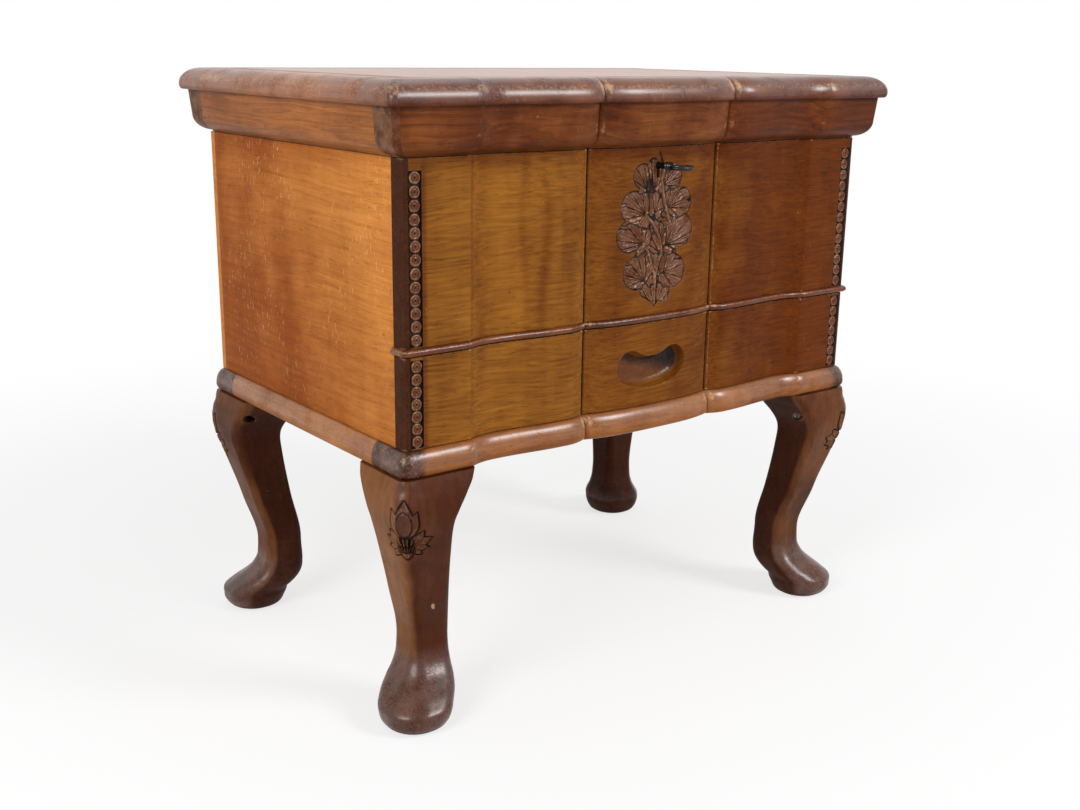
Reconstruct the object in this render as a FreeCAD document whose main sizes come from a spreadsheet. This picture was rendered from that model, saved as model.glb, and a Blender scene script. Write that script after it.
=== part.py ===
import FreeCAD, Part
import math
import os
import re
from types import SimpleNamespace

import Sketcher

# A small chest for sewing things on four cabriole legs: a lid on two hinges, a lift-out tray,
# a lock with its key, and a drawer under the main compartment. All lengths are millimetres.
# X runs to the right, Y from the front to the back, Z up. The origin is on the floor, in the
# middle of the whole outline with the key in its lock.

V = FreeCAD.Vector
doc = FreeCAD.newDocument("sewing_box")
sheet = doc.addObject("Spreadsheet::Sheet", "Sizes")

# Driving sizes

SIZES = {
    # Case
    "case_width": 420.0,
    "case_depth": 277.0,
    "front_thickness": 13.0,
    "side_thickness": 11.0,
    "back_thickness": 12.0,
    "back_lap": 6.0,
    "corner_radius": 3.0,
    # Heights, one on top of the other
    "leg_height": 184.0,
    "base_height": 18.0,
    "bay_height": 62.4,
    "rail_height": 5.0,
    "upper_height": 118.9,
    "cornice_height": 30.9,
    "rim_height": 15.9,
    # Line of the wavy front, as set-back from the corner flats
    "corner_flat": 50.0,
    "cove_width": 20.0,
    "cove_depth": 5.0,
    "bump_offset": 16.5,
    "bump_depth": 0.5,
    "groove_spacing": 121.0,
    "shoulder_depth": 4.5,
    "groove_width": 2.4,
    "groove_depth": 1.5,
    "centre_rise": 1.5,
    # Base moulding
    "base_overhang": 5.9,
    "base_tuck": 3.4,
    "base_nose_drop": 12.5,
    "base_front_width": 39.9,
    "base_back_width": 33.9,
    "base_side_width": 57.9,
    "base_panel_thickness": 5.0,
    "base_panel_lap": 6.0,
    # Half-round rail over the drawer, and the floor of the main compartment
    "rail_overhang": 2.8,
    "floor_groove": 4.0,
    # Cornice, the lower moulding of the lid
    "cornice_overhang": 12.6,
    "cornice_taper": 1.6,
    "cornice_round_height": 12.5,
    "cornice_step": 1.0,
    # Rim, the upper moulding of the lid, and the panel in it
    "rim_overhang": 17.8,
    "rim_width": 42.0,
    "rim_nose_run": 13.5,
    "rim_nose_drop": 11.9,
    "rim_tuck": 1.6,
    "lid_panel_thickness": 8.0,
    "lid_panel_lap": 8.0,
    "lid_gap": 0.4,
    # Drawer
    "drawer_gap": 0.4,
    "drawer_top_gap": 0.8,
    "drawer_side_gap": 0.8,
    "drawer_side_thickness": 8.0,
    "drawer_side_height": 53.0,
    "drawer_back_gap": 4.0,
    "drawer_bottom_thickness": 4.0,
    "drawer_bottom_rise": 5.0,
    "drawer_groove": 4.0,
    # Finger recess in the drawer front
    "recess_rise": 30.0,
    "recess_lobe_radius": 12.2,
    "recess_lobe_offset": 20.5,
    "recess_belly": 16.6,
    "recess_notch": 6.5,
    "recess_depth": 9.5,
    "recess_round": 7.0,
    # Legs
    "knee_projection": 10.6,
    "leg_top_width": 57.8,
    "knee_width": 48.0,
    "ankle_setback": 13.8,
    "ankle_width": 30.2,
    "toe_projection": 12.3,
    "foot_width": 50.0,
    "leg_rounding": 4.5,
    "dowel_diameter": 18.0,
    "dowel_in_leg": 28.0,
    "dowel_in_base": 13.0,
    "dowel_inset": 18.5,
    "leg_screw_inset": 4.0,
    "leg_screw_length": 20.0,
    "leg_screw_radius": 1.8,
    "leg_screw_head_radius": 3.4,
    "leg_screw_drop": 15.5,
    "leg_screw_step": 6.0,
    "counterbore_radius": 4.0,
    # Tray and its ledges
    "ledge_size": 10.0,
    "ledge_top_drop": 42.0,
    "tray_gap": 1.0,
    "tray_front_gap": 3.0,
    "tray_seat_gap": 0.3,
    "tray_wall": 6.0,
    "tray_height": 34.0,
    "tray_bottom_thickness": 4.0,
    "tray_groove": 3.0,
    "tray_divider": 5.0,
    "handle_height": 51.0,
    "handle_width": 150.0,
    "handle_round": 16.0,
    "handle_hole_width": 84.0,
    "handle_hole_height": 18.0,
    "handle_hole_drop": 8.0,
    "tray_cell": 118.0,
    # Hinges
    "hinge_length": 44.0,
    "hinge_inset": 70.0,
    "hinge_leaf_width": 11.0,
    "hinge_leaf_thickness": 1.3,
    "hinge_barrel_radius": 2.7,
    "hinge_barrel_gap": 0.4,
    "hinge_knuckle_gap": 0.3,
    "hinge_pin_radius": 1.2,
    "hinge_pin_clearance": 0.06,
    "hinge_screw_pitch": 15.0,
    "hinge_screw_length": 10.0,
    "hinge_screw_radius": 1.1,
    "hinge_screw_head_radius": 2.1,
    # Lock, bolt, strike plate and key
    "key_drop": 12.7,
    "lock_width": 50.0,
    "lock_height": 27.0,
    "lock_case_depth": 7.3,
    "lock_wall": 1.0,
    "lock_plate_width": 62.0,
    "lock_plate_height": 31.0,
    "lock_plate_thickness": 1.5,
    "lock_screw_length": 7.5,
    "lock_screw_radius": 1.1,
    "lock_screw_head_radius": 2.1,
    "lock_screw_inset": 2.9,
    "bolt_width": 20.0,
    "bolt_thickness": 3.0,
    "bolt_lift": 4.2,
    "bolt_drop": 0.3,
    "bolt_clearance": 0.25,
    "bolt_front_gap": 0.6,
    "bolt_throw": 6.0,
    "strike_length": 42.0,
    "strike_width": 8.2,
    "strike_thickness": 1.3,
    "strike_slot_clearance": 0.6,
    "strike_screw_length": 8.0,
    "key_barrel_radius": 2.25,
    "key_bore_radius": 1.2,
    "key_bore_depth": 11.0,
    "key_pin_clearance": 0.08,
    "key_end_gap": 0.4,
    "key_hole_clearance": 0.5,
    "key_bit_length": 8.3,
    "key_bit_thickness": 2.4,
    "key_bit_width": 4.4,
    "key_reach": 30.0,
    "key_bow_length": 16.6,
    "key_bow_width": 19.6,
    "key_bow_stock": 1.3,
}

# Places worked out from the driving sizes


def places(s):
    """Heights and planes that several pieces share, from the driving sizes."""
    p = {}
    outline_depth = s.case_depth + s.rim_overhang - s.centre_rise - s.key_reach
    p["front_y"] = -outline_depth / 2
    p["back_y"] = p["front_y"] + s.case_depth
    p["half_width"] = s.case_width / 2
    p["board_y"] = p["front_y"] + s.front_thickness
    p["inner_back_y"] = p["back_y"] - s.back_thickness
    p["inner_half_width"] = s.case_width / 2 - s.side_thickness
    p["base_top"] = s.leg_height + s.base_height
    p["floor_low"] = p["base_top"] + s.bay_height
    p["floor_top"] = p["floor_low"] + s.rail_height
    p["case_top"] = p["floor_top"] + s.upper_height
    p["lid_low"] = p["case_top"] + s.lid_gap
    p["rim_low"] = p["lid_low"] + s.cornice_height
    p["lid_top"] = p["rim_low"] + s.rim_height
    p["hinge_y"] = p["back_y"] + s.hinge_barrel_radius + s.hinge_barrel_gap
    p["hinge_z"] = p["case_top"] + s.lid_gap / 2
    p["key_z"] = p["case_top"] - s.key_drop
    p["ledge_top"] = p["case_top"] - s.ledge_top_drop
    p["tray_low"] = p["ledge_top"] + s.tray_seat_gap
    p["tray_top"] = p["tray_low"] + s.tray_height
    p["tray_front_y"] = p["board_y"] + s.tray_front_gap
    p["tray_back_y"] = p["inner_back_y"] - s.tray_gap
    p["tray_half_width"] = p["inner_half_width"] - s.tray_gap
    p["handle_y"] = (p["tray_front_y"] + p["tray_back_y"]) / 2
    p["drawer_back_y"] = p["inner_back_y"] - s.drawer_back_gap
    p["drawer_half_width"] = p["inner_half_width"] - s.drawer_side_gap
    p["drawer_low"] = p["base_top"] + s.drawer_gap
    p["drawer_front_back_y"] = p["board_y"] - s.drawer_gap
    p["lock_y"] = p["board_y"] - s.lock_case_depth
    return p


def fill_sheet():
    """Put the sizes, then the places worked out from them, in the sheet, one alias each."""
    sizes = SimpleNamespace(**SIZES)
    rows = dict(SIZES)
    rows.update(places(sizes))
    for row, (word, value) in enumerate(rows.items(), start=1):
        sheet.set("A%d" % row, word)
        sheet.set("B%d" % row, repr(value))
        sheet.setAlias("B%d" % row, word)
    doc.recompute()
    return SimpleNamespace(**{word: float(sheet.get(word)) for word in rows})


s = fill_sheet()
pieces = []


# Small helpers


def bind(obj, prop, text):
    """Bind a property to a formula whose words are aliases of the sheet."""
    known = vars(s)
    formula = re.sub(r"[a-z][a-z_]+", lambda m: "Sizes." + m.group(0) if m.group(0) in known else m.group(0), text)
    obj.setExpression(prop, formula)


def place(obj, x, y, z):
    """Bind an object's place to three formulas."""
    for axis, text in zip("xyz", (x, y, z)):
        bind(obj, "Placement.Base." + axis, text)


def keep(obj, label):
    """Name an object as one of the sub-parts and list it for export."""
    obj.Label = label
    pieces.append(obj)
    return obj


def block(name, length, width, height, x, y, z):
    """A rectangular block with bound size and place."""
    obj = doc.addObject("Part::Box", name)
    bind(obj, "Length", length)
    bind(obj, "Width", width)
    bind(obj, "Height", height)
    place(obj, x, y, z)
    return obj


def rod(name, radius, height, x, y, z, turn=None):
    """A cylinder with bound size and place, along Z unless turned."""
    obj = doc.addObject("Part::Cylinder", name)
    bind(obj, "Radius", radius)
    bind(obj, "Height", height)
    if turn:
        obj.Placement.Rotation = turn
    place(obj, x, y, z)
    return obj


ALONG_X = FreeCAD.Rotation(V(0, 1, 0), 90)
ALONG_Y = FreeCAD.Rotation(V(1, 0, 0), -90)


def solid(name, shape):
    """An object that holds a shape made here from the sheet's values."""
    obj = doc.addObject("Part::Feature", name)
    obj.Shape = shape
    return obj


def cut(name, base, *tools):
    """A base with one or more tools cut from it, one boolean after the other."""
    result = base
    for number, tool in enumerate(tools):
        step = doc.addObject("Part::Cut", "%s_cut%d" % (name, number))
        step.Base = result
        step.Tool = tool
        result = step
    return result


def fuse(name, *parts):
    """Several objects joined to one."""
    obj = doc.addObject("Part::MultiFuse", name)
    obj.Shapes = list(parts)
    return obj


def origin_plane(body, role):
    """A body's own origin plane, found by its role."""
    return next(f for f in body.Origin.OriginFeatures if f.Role == role)


def new_sketch(body, name, role, offset="0"):
    """A sketch on a body's own origin plane, at a bound distance from it."""
    sketch = body.newObject("Sketcher::SketchObject", name)
    sketch.AttachmentSupport = [(origin_plane(body, role), "")]
    sketch.MapMode = "FlatFace"
    bind(sketch, "AttachmentOffset.Base.z", offset)
    return sketch


def locate(sketch, geometry, point, across, up, name):
    """Hold a point of the sketch at two bound coordinates."""
    for kind, text, tail in (("DistanceX", across, "x"), ("DistanceY", up, "y")):
        index = sketch.addConstraint(Sketcher.Constraint(kind, -1, 1, geometry, point, 1.0))
        sketch.renameConstraint(index, name + tail)
        bind(sketch, "Constraints." + name + tail, text)


def rectangle(sketch, left, right, low, high, name="r"):
    """A rectangle in a sketch, its two opposite corners held at bound coordinates."""
    corners = [V(0, 0, 0), V(10, 0, 0), V(10, 10, 0), V(0, 10, 0)]
    first = sketch.GeometryCount
    for k in range(4):
        sketch.addGeometry(Part.LineSegment(corners[k], corners[(k + 1) % 4]), False)
    for k in range(4):
        sketch.addConstraint(Sketcher.Constraint("Coincident", first + k, 2, first + (k + 1) % 4, 1))
    for k, kind in enumerate(("Horizontal", "Vertical", "Horizontal", "Vertical")):
        sketch.addConstraint(Sketcher.Constraint(kind, first + k))
    locate(sketch, first, 1, left, low, name + "a")
    locate(sketch, first + 2, 1, right, high, name + "b")


def circle(sketch, across, up, radius, name="c"):
    """A circle in a sketch, its centre and radius bound."""
    index = sketch.addGeometry(Part.Circle(V(0, 0, 0), V(0, 0, 1), 1.0), False)
    locate(sketch, index, 3, across, up, name + "m")
    number = sketch.addConstraint(Sketcher.Constraint("Radius", index, 1.0))
    sketch.renameConstraint(number, name + "r")
    bind(sketch, "Constraints." + name + "r", radius)


def pad(body, sketch, length, back=False):
    """Pad a sketch by a bound length, along its normal or against it."""
    feature = body.newObject("PartDesign::Pad", sketch.Name + "_pad")
    feature.Profile = sketch
    bind(feature, "Length", length)
    feature.Reversed = back
    return feature


def pocket(body, sketch, length, back=False):
    """Cut a sketch into a body by a bound length, against its normal or along it."""
    feature = body.newObject("PartDesign::Pocket", sketch.Name + "_pocket")
    feature.Profile = sketch
    bind(feature, "Length", length)
    feature.Reversed = back
    return feature


# Line of the wavy front


def front_line(overhang):
    """The front's line in plan, from left to right, as poles of Bezier stretches.

    It is flat at the corners, drops into a cove, swells to a low bump, falls to a V-groove and
    swells again to the middle, the same on both sides. The overhang lengthens the corner flats.
    """
    groove = s.groove_spacing / 2
    inner = groove - s.groove_width / 2
    outer = groove + s.groove_width / 2
    bump = groove + s.bump_offset
    arris = s.half_width - s.corner_flat
    cove = arris - s.cove_width
    fall = s.shoulder_depth + s.centre_rise
    span = cove - bump
    right = [
        [(0, -s.centre_rise), (0.5 * inner, -s.centre_rise),
         (0.75 * inner, -s.centre_rise + 0.15 * fall), (inner, s.shoulder_depth)],
        [(inner, s.shoulder_depth), (groove, s.shoulder_depth + s.groove_depth)],
        [(groove, s.shoulder_depth + s.groove_depth), (outer, s.shoulder_depth)],
        [(outer, s.shoulder_depth), (outer + 0.3 * (bump - outer), 0.4 * s.shoulder_depth + 0.6 * s.bump_depth),
         (outer + 0.6 * (bump - outer), s.bump_depth), (bump, s.bump_depth)],
        [(bump, s.bump_depth), (bump + 0.4 * span, s.bump_depth),
         (cove - 0.4 * span, s.cove_depth), (cove, s.cove_depth)],
        [(cove, s.cove_depth), (cove + 0.4 * s.cove_width, s.cove_depth),
         (arris - 0.25 * s.cove_width, 0.55 * s.cove_depth), (arris, 0)],
        [(arris, 0), (s.half_width + overhang, 0)],
    ]
    left = [[(-x, y) for x, y in reversed(stretch)] for stretch in reversed(right)]
    return left + right


def front_edges(overhang, z, trim=0.0):
    """Edges of the front's line at one height, with the end stretches shortened by a trim."""
    stretches = front_line(overhang - trim)
    edges = []
    for poles in stretches:
        curve = Part.BezierCurve()
        curve.setPoles([V(x, s.front_y + y, z) for x, y in poles])
        edges.append(curve.toShape())
    return edges


def front_face(back_y, z):
    """Plan of a front board at a height: wavy front, rounded corners, straight back."""
    r = s.corner_radius
    w = s.half_width
    y = s.front_y
    k = r * (1 - math.sqrt(0.5))
    edges = front_edges(0.0, z, r)
    right = Part.Arc(V(w - r, y, z), V(w - k, y + k, z), V(w, y + r, z)).toShape()
    left = Part.Arc(V(-w, y + r, z), V(-w + k, y + k, z), V(-w + r, y, z)).toShape()
    back = [
        Part.makeLine(V(w, y + r, z), V(w, back_y, z)),
        Part.makeLine(V(w, back_y, z), V(-w, back_y, z)),
        Part.makeLine(V(-w, back_y, z), V(-w, y + r, z)),
    ]
    return Part.Face(Part.Wire(edges + [right] + back + [left]))


def front_extrusion(name, face, height):
    """A front board: its plan drawn up by a bound height."""
    obj = doc.addObject("Part::Extrusion", name)
    obj.Base = face
    obj.DirMode = "Custom"
    obj.Dir = V(0, 0, 1)
    obj.Solid = True
    bind(obj, "LengthFwd", height)
    return obj


# Mouldings. A section is a list of edges in the XZ plane: X is how far it stands out of the
# case, Z its height. It is turned to face its side and drawn along it.


def bezier(*poles):
    """An edge through the poles of a Bezier curve, given as standing-out and height."""
    curve = Part.BezierCurve()
    curve.setPoles([V(x, 0, z) for x, z in poles])
    return curve.toShape()


def line(a, b):
    """A straight edge between two points, given as standing-out and height."""
    return Part.makeLine(V(a[0], 0, a[1]), V(b[0], 0, b[1]))


ROUND = 0.552


def nose(out, low, run, drop):
    """A quarter of an ellipse from the widest point up and in to the top."""
    return bezier((out, low), (out, low + ROUND * drop), (out - run + ROUND * run, low + drop), (out - run, low + drop))


def rim_section(inner):
    """Thumbnail section: tucked in under, round over, flat on top."""
    out = s.rim_overhang
    low = s.rim_low
    wide = s.lid_top - s.rim_nose_drop
    top = s.lid_top
    return Part.Wire([
        line((inner, low), (out - s.rim_tuck, low)),
        bezier((out - s.rim_tuck, low), (out - 0.3 * s.rim_tuck, low + 0.15 * (wide - low)),
               (out, low + 0.5 * (wide - low)), (out, wide)),
        nose(out, wide, s.rim_nose_run, s.rim_nose_drop),
        line((out - s.rim_nose_run, top), (inner, top)),
        line((inner, top), (inner, low)),
    ])


def cornice_section(inner):
    """Ovolo section: flush with the case below, rounding out to a slightly sloped face."""
    out = s.cornice_overhang
    low = s.lid_low
    step = low + s.cornice_step
    wide = low + s.cornice_round_height
    belly = out - s.cornice_taper
    return Part.Wire([
        line((inner, low), (0, low)),
        line((0, low), (0, step)),
        bezier((0, step), (ROUND * belly, step), (belly, wide - ROUND * (wide - step)), (belly, wide)),
        line((belly, wide), (out, s.rim_low)),
        line((out, s.rim_low), (inner, s.rim_low)),
        line((inner, s.rim_low), (inner, low)),
    ])


def base_section(inner):
    """Base moulding: round over from the case, widest low down, tucked in under."""
    out = s.base_overhang
    low = s.leg_height
    wide = s.base_top - s.base_nose_drop
    return Part.Wire([
        line((inner, low), (out - s.base_tuck, low)),
        bezier((out - s.base_tuck, low), (out - 0.3 * s.base_tuck, low + 0.2 * (wide - low)),
               (out, low + 0.5 * (wide - low)), (out, wide)),
        nose(out, wide, out, s.base_nose_drop),
        line((0, s.base_top), (inner, s.base_top)),
        line((inner, s.base_top), (inner, low)),
    ])


def rail_section(inner):
    """Half-round edge of the rail over the drawer."""
    out = s.rail_overhang
    low = s.floor_low
    high = s.floor_top
    middle = (low + high) / 2
    half = (high - low) / 2
    return Part.Wire([
        line((inner, low), (0, low)),
        bezier((0, low), (ROUND * out, low), (out, middle - ROUND * half), (out, middle)),
        nose(out, middle, out, half),
        line((0, high), (inner, high)),
        line((inner, high), (inner, low)),
    ])


def turned(wire, angle, x, y):
    """A section turned about Z and moved to its side of the case."""
    result = wire.copy()
    result.rotate(V(0, 0, 0), V(0, 0, 1), angle)
    result.translate(V(x, y, 0))
    return result


def end_prism(section, side, y0, y1):
    """The section of one side, filled inwards past the other side and drawn from front to back."""
    wire = turned(section(-2 * s.case_width), 0 if side > 0 else 180, side * s.half_width, y0)
    return Part.Face(wire).extrude(V(0, y1 - y0, 0))


def front_moulding(section, overhang, width):
    """A front moulding: its section carried along the wavy line without turning, so that each
    cut across it is the same, with both ends worked to the side section and a straight back."""
    reach = 40.0
    start = -s.half_width - overhang - 1.0
    path = Part.Wire(front_edges(overhang + 1.0, 0.0))
    wire = turned(section(overhang - width - 20.0), -90, start, s.front_y)
    shell = Part.BRepOffsetAPI.MakePipeShell(path)
    shell.setTrihedronMode(V(0, 0, 0), V(0, 0, 1))
    shell.add(wire, False, False)
    shell.build()
    shell.makeSolid()
    y0 = s.front_y - reach
    y1 = s.front_y - overhang + width
    shape = shell.shape()
    for side in (-1, 1):
        shape = shape.common(end_prism(section, side, y0, y1))
    return shape


def back_moulding(section, overhang, width):
    """A straight back moulding with both ends worked to the side section."""
    reach = 40.0
    start = -s.half_width - overhang - 1.0
    wire = turned(section(overhang - width), 90, start, s.back_y)
    shape = Part.Face(wire).extrude(V(-2 * start, 0, 0))
    y0 = s.back_y + overhang - width
    for side in (-1, 1):
        shape = shape.common(end_prism(section, side, y0, s.back_y + reach))
    return shape


def side_moulding(name, section, side, inner, y0, y1):
    """A straight side moulding between the front and the back one."""
    wire = turned(section(inner), 0 if side > 0 else 180, side * s.half_width, y0)
    face = solid(name + "_section", Part.Face(wire))
    obj = doc.addObject("Part::Extrusion", name + "_length")
    obj.Base = face
    obj.DirMode = "Custom"
    obj.Dir = V(0, 1, 0)
    obj.Solid = True
    obj.LengthFwd = y1 - y0
    return obj


# Screws and dowels


def screw(point, direction, length, radius, head_radius):
    """A countersunk screw: its head's face at the point, its shank along the direction."""
    head = head_radius - radius
    axis = V(*direction).normalize()
    cone = Part.makeCone(head_radius, radius, head, point, axis)
    shank = Part.makeCylinder(radius, length - head - radius, point + axis * head, axis)
    tip = Part.makeCone(radius, 0.25 * radius, radius, point + axis * (length - radius), axis)
    return cone.fuse([shank, tip]).removeSplitter()


def side_name(side):
    """Left or right."""
    return "left" if side < 0 else "right"


# Lid


def build_lid():
    """Four cornice boards, four rim boards and the panel let into the rim from above."""
    rim_inner_front = "front_y - rim_overhang + rim_width"
    panel = block(
        "lid_panel",
        "case_width + 2 * rim_overhang - 2 * rim_width + 2 * lid_panel_lap",
        "case_depth + 2 * rim_overhang - 2 * rim_width + 2 * lid_panel_lap",
        "lid_panel_thickness",
        "-(half_width + rim_overhang - rim_width + lid_panel_lap)",
        rim_inner_front + " - lid_panel_lap",
        "lid_top - lid_panel_thickness",
    )
    keep(panel, "lid_panel")

    rim_front = solid("rim_front_blank", front_moulding(rim_section, s.rim_overhang, s.rim_width))
    rim_back = solid("rim_back_blank", back_moulding(rim_section, s.rim_overhang, s.rim_width))
    keep(cut("rim_front", rim_front, panel), "lid_rim_front")
    keep(cut("rim_back", rim_back, panel), "lid_rim_back")
    rim_y0 = s.front_y - s.rim_overhang + s.rim_width
    rim_y1 = s.back_y + s.rim_overhang - s.rim_width
    for side in (-1, 1):
        name = "rim_" + side_name(side)
        board = side_moulding(name, rim_section, side, s.rim_overhang - s.rim_width, rim_y0, rim_y1)
        keep(cut(name, board, panel), "lid_rim_" + side_name(side))
    return panel


def build_cornice(strike, strike_screws, strike_room, leaves, leaf_screws, barrel_room):
    """The four cornice boards, let out for the strike plate and the hinge leaves."""
    front_width = s.cornice_overhang + s.front_thickness
    back_width = s.cornice_overhang + s.back_thickness
    front = solid("cornice_front_blank", front_moulding(cornice_section, s.cornice_overhang, front_width))
    keep(cut("cornice_front", front, strike, strike_room, strike_screws), "lid_cornice_front")
    back = solid("cornice_back_blank", back_moulding(cornice_section, s.cornice_overhang, back_width))
    keep(cut("cornice_back", back, *leaves, barrel_room, leaf_screws), "lid_cornice_back")
    for side in (-1, 1):
        name = "cornice_" + side_name(side)
        board = side_moulding(name, cornice_section, side, -s.side_thickness, s.board_y, s.inner_back_y)
        keep(board, "lid_cornice_" + side_name(side))


# Hinges


def build_hinges():
    """Two butt hinges: leaves let into the back board's top edge and into the cornice."""
    pitch = s.hinge_screw_pitch
    leaf_y = s.hinge_y - s.hinge_barrel_radius - s.hinge_barrel_gap - s.hinge_leaf_width / 2
    case_screws = []
    lid_screws = []
    leaves = {"case": [], "lid": []}
    for side in (-1, 1):
        centre = side * (s.half_width - s.hinge_inset)
        for k in (-1, 0, 1):
            x = centre + k * pitch
            dims = (s.hinge_screw_length, s.hinge_screw_radius, s.hinge_screw_head_radius)
            case_screws.append(screw(V(x, leaf_y, s.case_top), (0, 0, -1), *dims))
            lid_screws.append(screw(V(x, leaf_y, s.lid_low), (0, 0, 1), *dims))
    case_screws = keep(solid("hinge_case_screws", Part.makeCompound(case_screws)), "hinge_case_screws")
    lid_screws = keep(solid("hinge_lid_screws", Part.makeCompound(lid_screws)), "hinge_lid_screws")
    rooms = []
    for side in (-1, 1):
        word = side_name(side)
        start = "%s (half_width - hinge_inset) - hinge_length / 2" % ("-" if side < 0 else "")
        third = "(hinge_length / 3)"
        pin = rod("hinge_%s_pin" % word, "hinge_pin_radius", "hinge_length",
                  start, "hinge_y", "hinge_z", ALONG_X)
        keep(pin, "hinge_%s_pin" % word)
        bore = rod("hinge_%s_bore" % word, "hinge_pin_radius + hinge_pin_clearance", "hinge_length",
                   start, "hinge_y", "hinge_z", ALONG_X)
        leaf_length = "hinge_leaf_width + hinge_barrel_radius + hinge_barrel_gap"
        flap = {
            "case": block("hinge_%s_case_flap" % word, "hinge_length", leaf_length, "hinge_leaf_thickness",
                          start, "back_y - hinge_leaf_width", "case_top - hinge_leaf_thickness"),
            "lid": block("hinge_%s_lid_flap" % word, "hinge_length", leaf_length, "hinge_leaf_thickness",
                         start, "back_y - hinge_leaf_width", "lid_low"),
        }
        barrel = "hinge_barrel_radius"
        outer = third + " - hinge_knuckle_gap"
        knuckles = {
            "case": [
                rod("hinge_%s_knuckle_a" % word, barrel, outer, start, "hinge_y", "hinge_z", ALONG_X),
                rod("hinge_%s_knuckle_c" % word, barrel, outer,
                    start + " + 2 * %s + hinge_knuckle_gap" % third, "hinge_y", "hinge_z", ALONG_X),
            ],
            "lid": [
                rod("hinge_%s_knuckle_b" % word, barrel, third, start + " + " + third,
                    "hinge_y", "hinge_z", ALONG_X),
            ],
        }
        reach = "hinge_barrel_radius + hinge_knuckle_gap"
        rooms.append(rod("hinge_%s_room" % word, reach + " + 0.1", "hinge_length + 1",
                         start + " - 0.5", "hinge_y", "hinge_z", ALONG_X))
        # Each flap is cut back where the other leaf's knuckles turn.
        gap = {
            "case": [rod("hinge_%s_gap_b" % word, reach, third + " + 2 * hinge_knuckle_gap",
                         start + " + %s - hinge_knuckle_gap" % third, "hinge_y", "hinge_z", ALONG_X)],
            "lid": [
                rod("hinge_%s_gap_a" % word, reach, third, start, "hinge_y", "hinge_z", ALONG_X),
                rod("hinge_%s_gap_c" % word, reach, third, start + " + 2 * " + third,
                    "hinge_y", "hinge_z", ALONG_X),
            ],
        }
        for part, screws in (("case", case_screws), ("lid", lid_screws)):
            cleared = cut("hinge_%s_%s_cleared" % (word, part), flap[part], *gap[part])
            whole = fuse("hinge_%s_%s_whole" % (word, part), cleared, *knuckles[part])
            bored = cut("hinge_%s_%s" % (word, part), whole, bore, screws)
            keep(bored, "hinge_%s_%s_leaf" % (word, part))
            leaves[part].append(flap[part])
    return leaves, case_screws, lid_screws, fuse("hinge_barrel_room", *rooms)


# Case


def build_case(case_leaves, case_screws):
    """Side panels, back, front board, rail, floor and base."""
    floor = block(
        "box_floor",
        "2 * inner_half_width + 2 * floor_groove",
        "inner_back_y - board_y",
        "rail_height",
        "-inner_half_width - floor_groove",
        "board_y",
        "floor_low",
    )
    keep(floor, "box_floor")

    for side in (-1, 1):
        name = "side_panel_" + side_name(side)
        body = doc.addObject("PartDesign::Body", name)
        outline = new_sketch(body, name + "_outline", "YZ_Plane", "inner_half_width" if side > 0 else "-half_width")
        rectangle(outline, "board_y", "back_y - back_lap", "base_top", "case_top")
        pad(body, outline, "side_thickness")
        groove_at = "inner_half_width" if side > 0 else "-inner_half_width"
        groove = new_sketch(body, name + "_groove", "YZ_Plane", groove_at)
        rectangle(groove, "board_y", "inner_back_y", "floor_low", "floor_top")
        doc.recompute()
        pocket(body, groove, "floor_groove", back=side > 0)
        keep(body, name)

    height = "case_top - base_top"
    back_skin = block("back_skin", "case_width", "back_lap", height,
                      "-half_width", "back_y - back_lap", "base_top")
    back_core = block("back_core", "2 * inner_half_width", "back_thickness - back_lap", height,
                      "-inner_half_width", "inner_back_y", "base_top")
    back_blank = fuse("back_blank", back_skin, back_core)
    keep(cut("back_panel", back_blank, *case_leaves, case_screws), "back_panel")

    rail = front_moulding(rail_section, s.rail_overhang, s.rail_overhang + s.front_thickness)
    keep(solid("divider_rail", rail), "divider_rail")
    return floor


def build_base(dowels):
    """Four moulded boards and the panel let into them under the drawer."""
    panel = block(
        "base_panel",
        "case_width + 2 * base_overhang - 2 * base_side_width + 2 * base_panel_lap",
        "case_depth + 2 * base_overhang - base_front_width - base_back_width + 2 * base_panel_lap",
        "base_panel_thickness",
        "-(half_width + base_overhang - base_side_width + base_panel_lap)",
        "front_y - base_overhang + base_front_width - base_panel_lap",
        "base_top - base_panel_thickness",
    )
    keep(panel, "base_panel")
    front = solid("base_front_blank", front_moulding(base_section, s.base_overhang, s.base_front_width))
    back = solid("base_back_blank", back_moulding(base_section, s.base_overhang, s.base_back_width))
    keep(cut("base_front", front, panel, dowels), "base_moulding_front")
    keep(cut("base_back", back, panel, dowels), "base_moulding_back")
    y0 = s.front_y - s.base_overhang + s.base_front_width
    y1 = s.back_y + s.base_overhang - s.base_back_width
    for side in (-1, 1):
        name = "base_" + side_name(side)
        board = side_moulding(name, base_section, side, s.base_overhang - s.base_side_width, y0, y1)
        keep(cut(name, board, panel), "base_moulding_" + side_name(side))


# Legs


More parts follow.
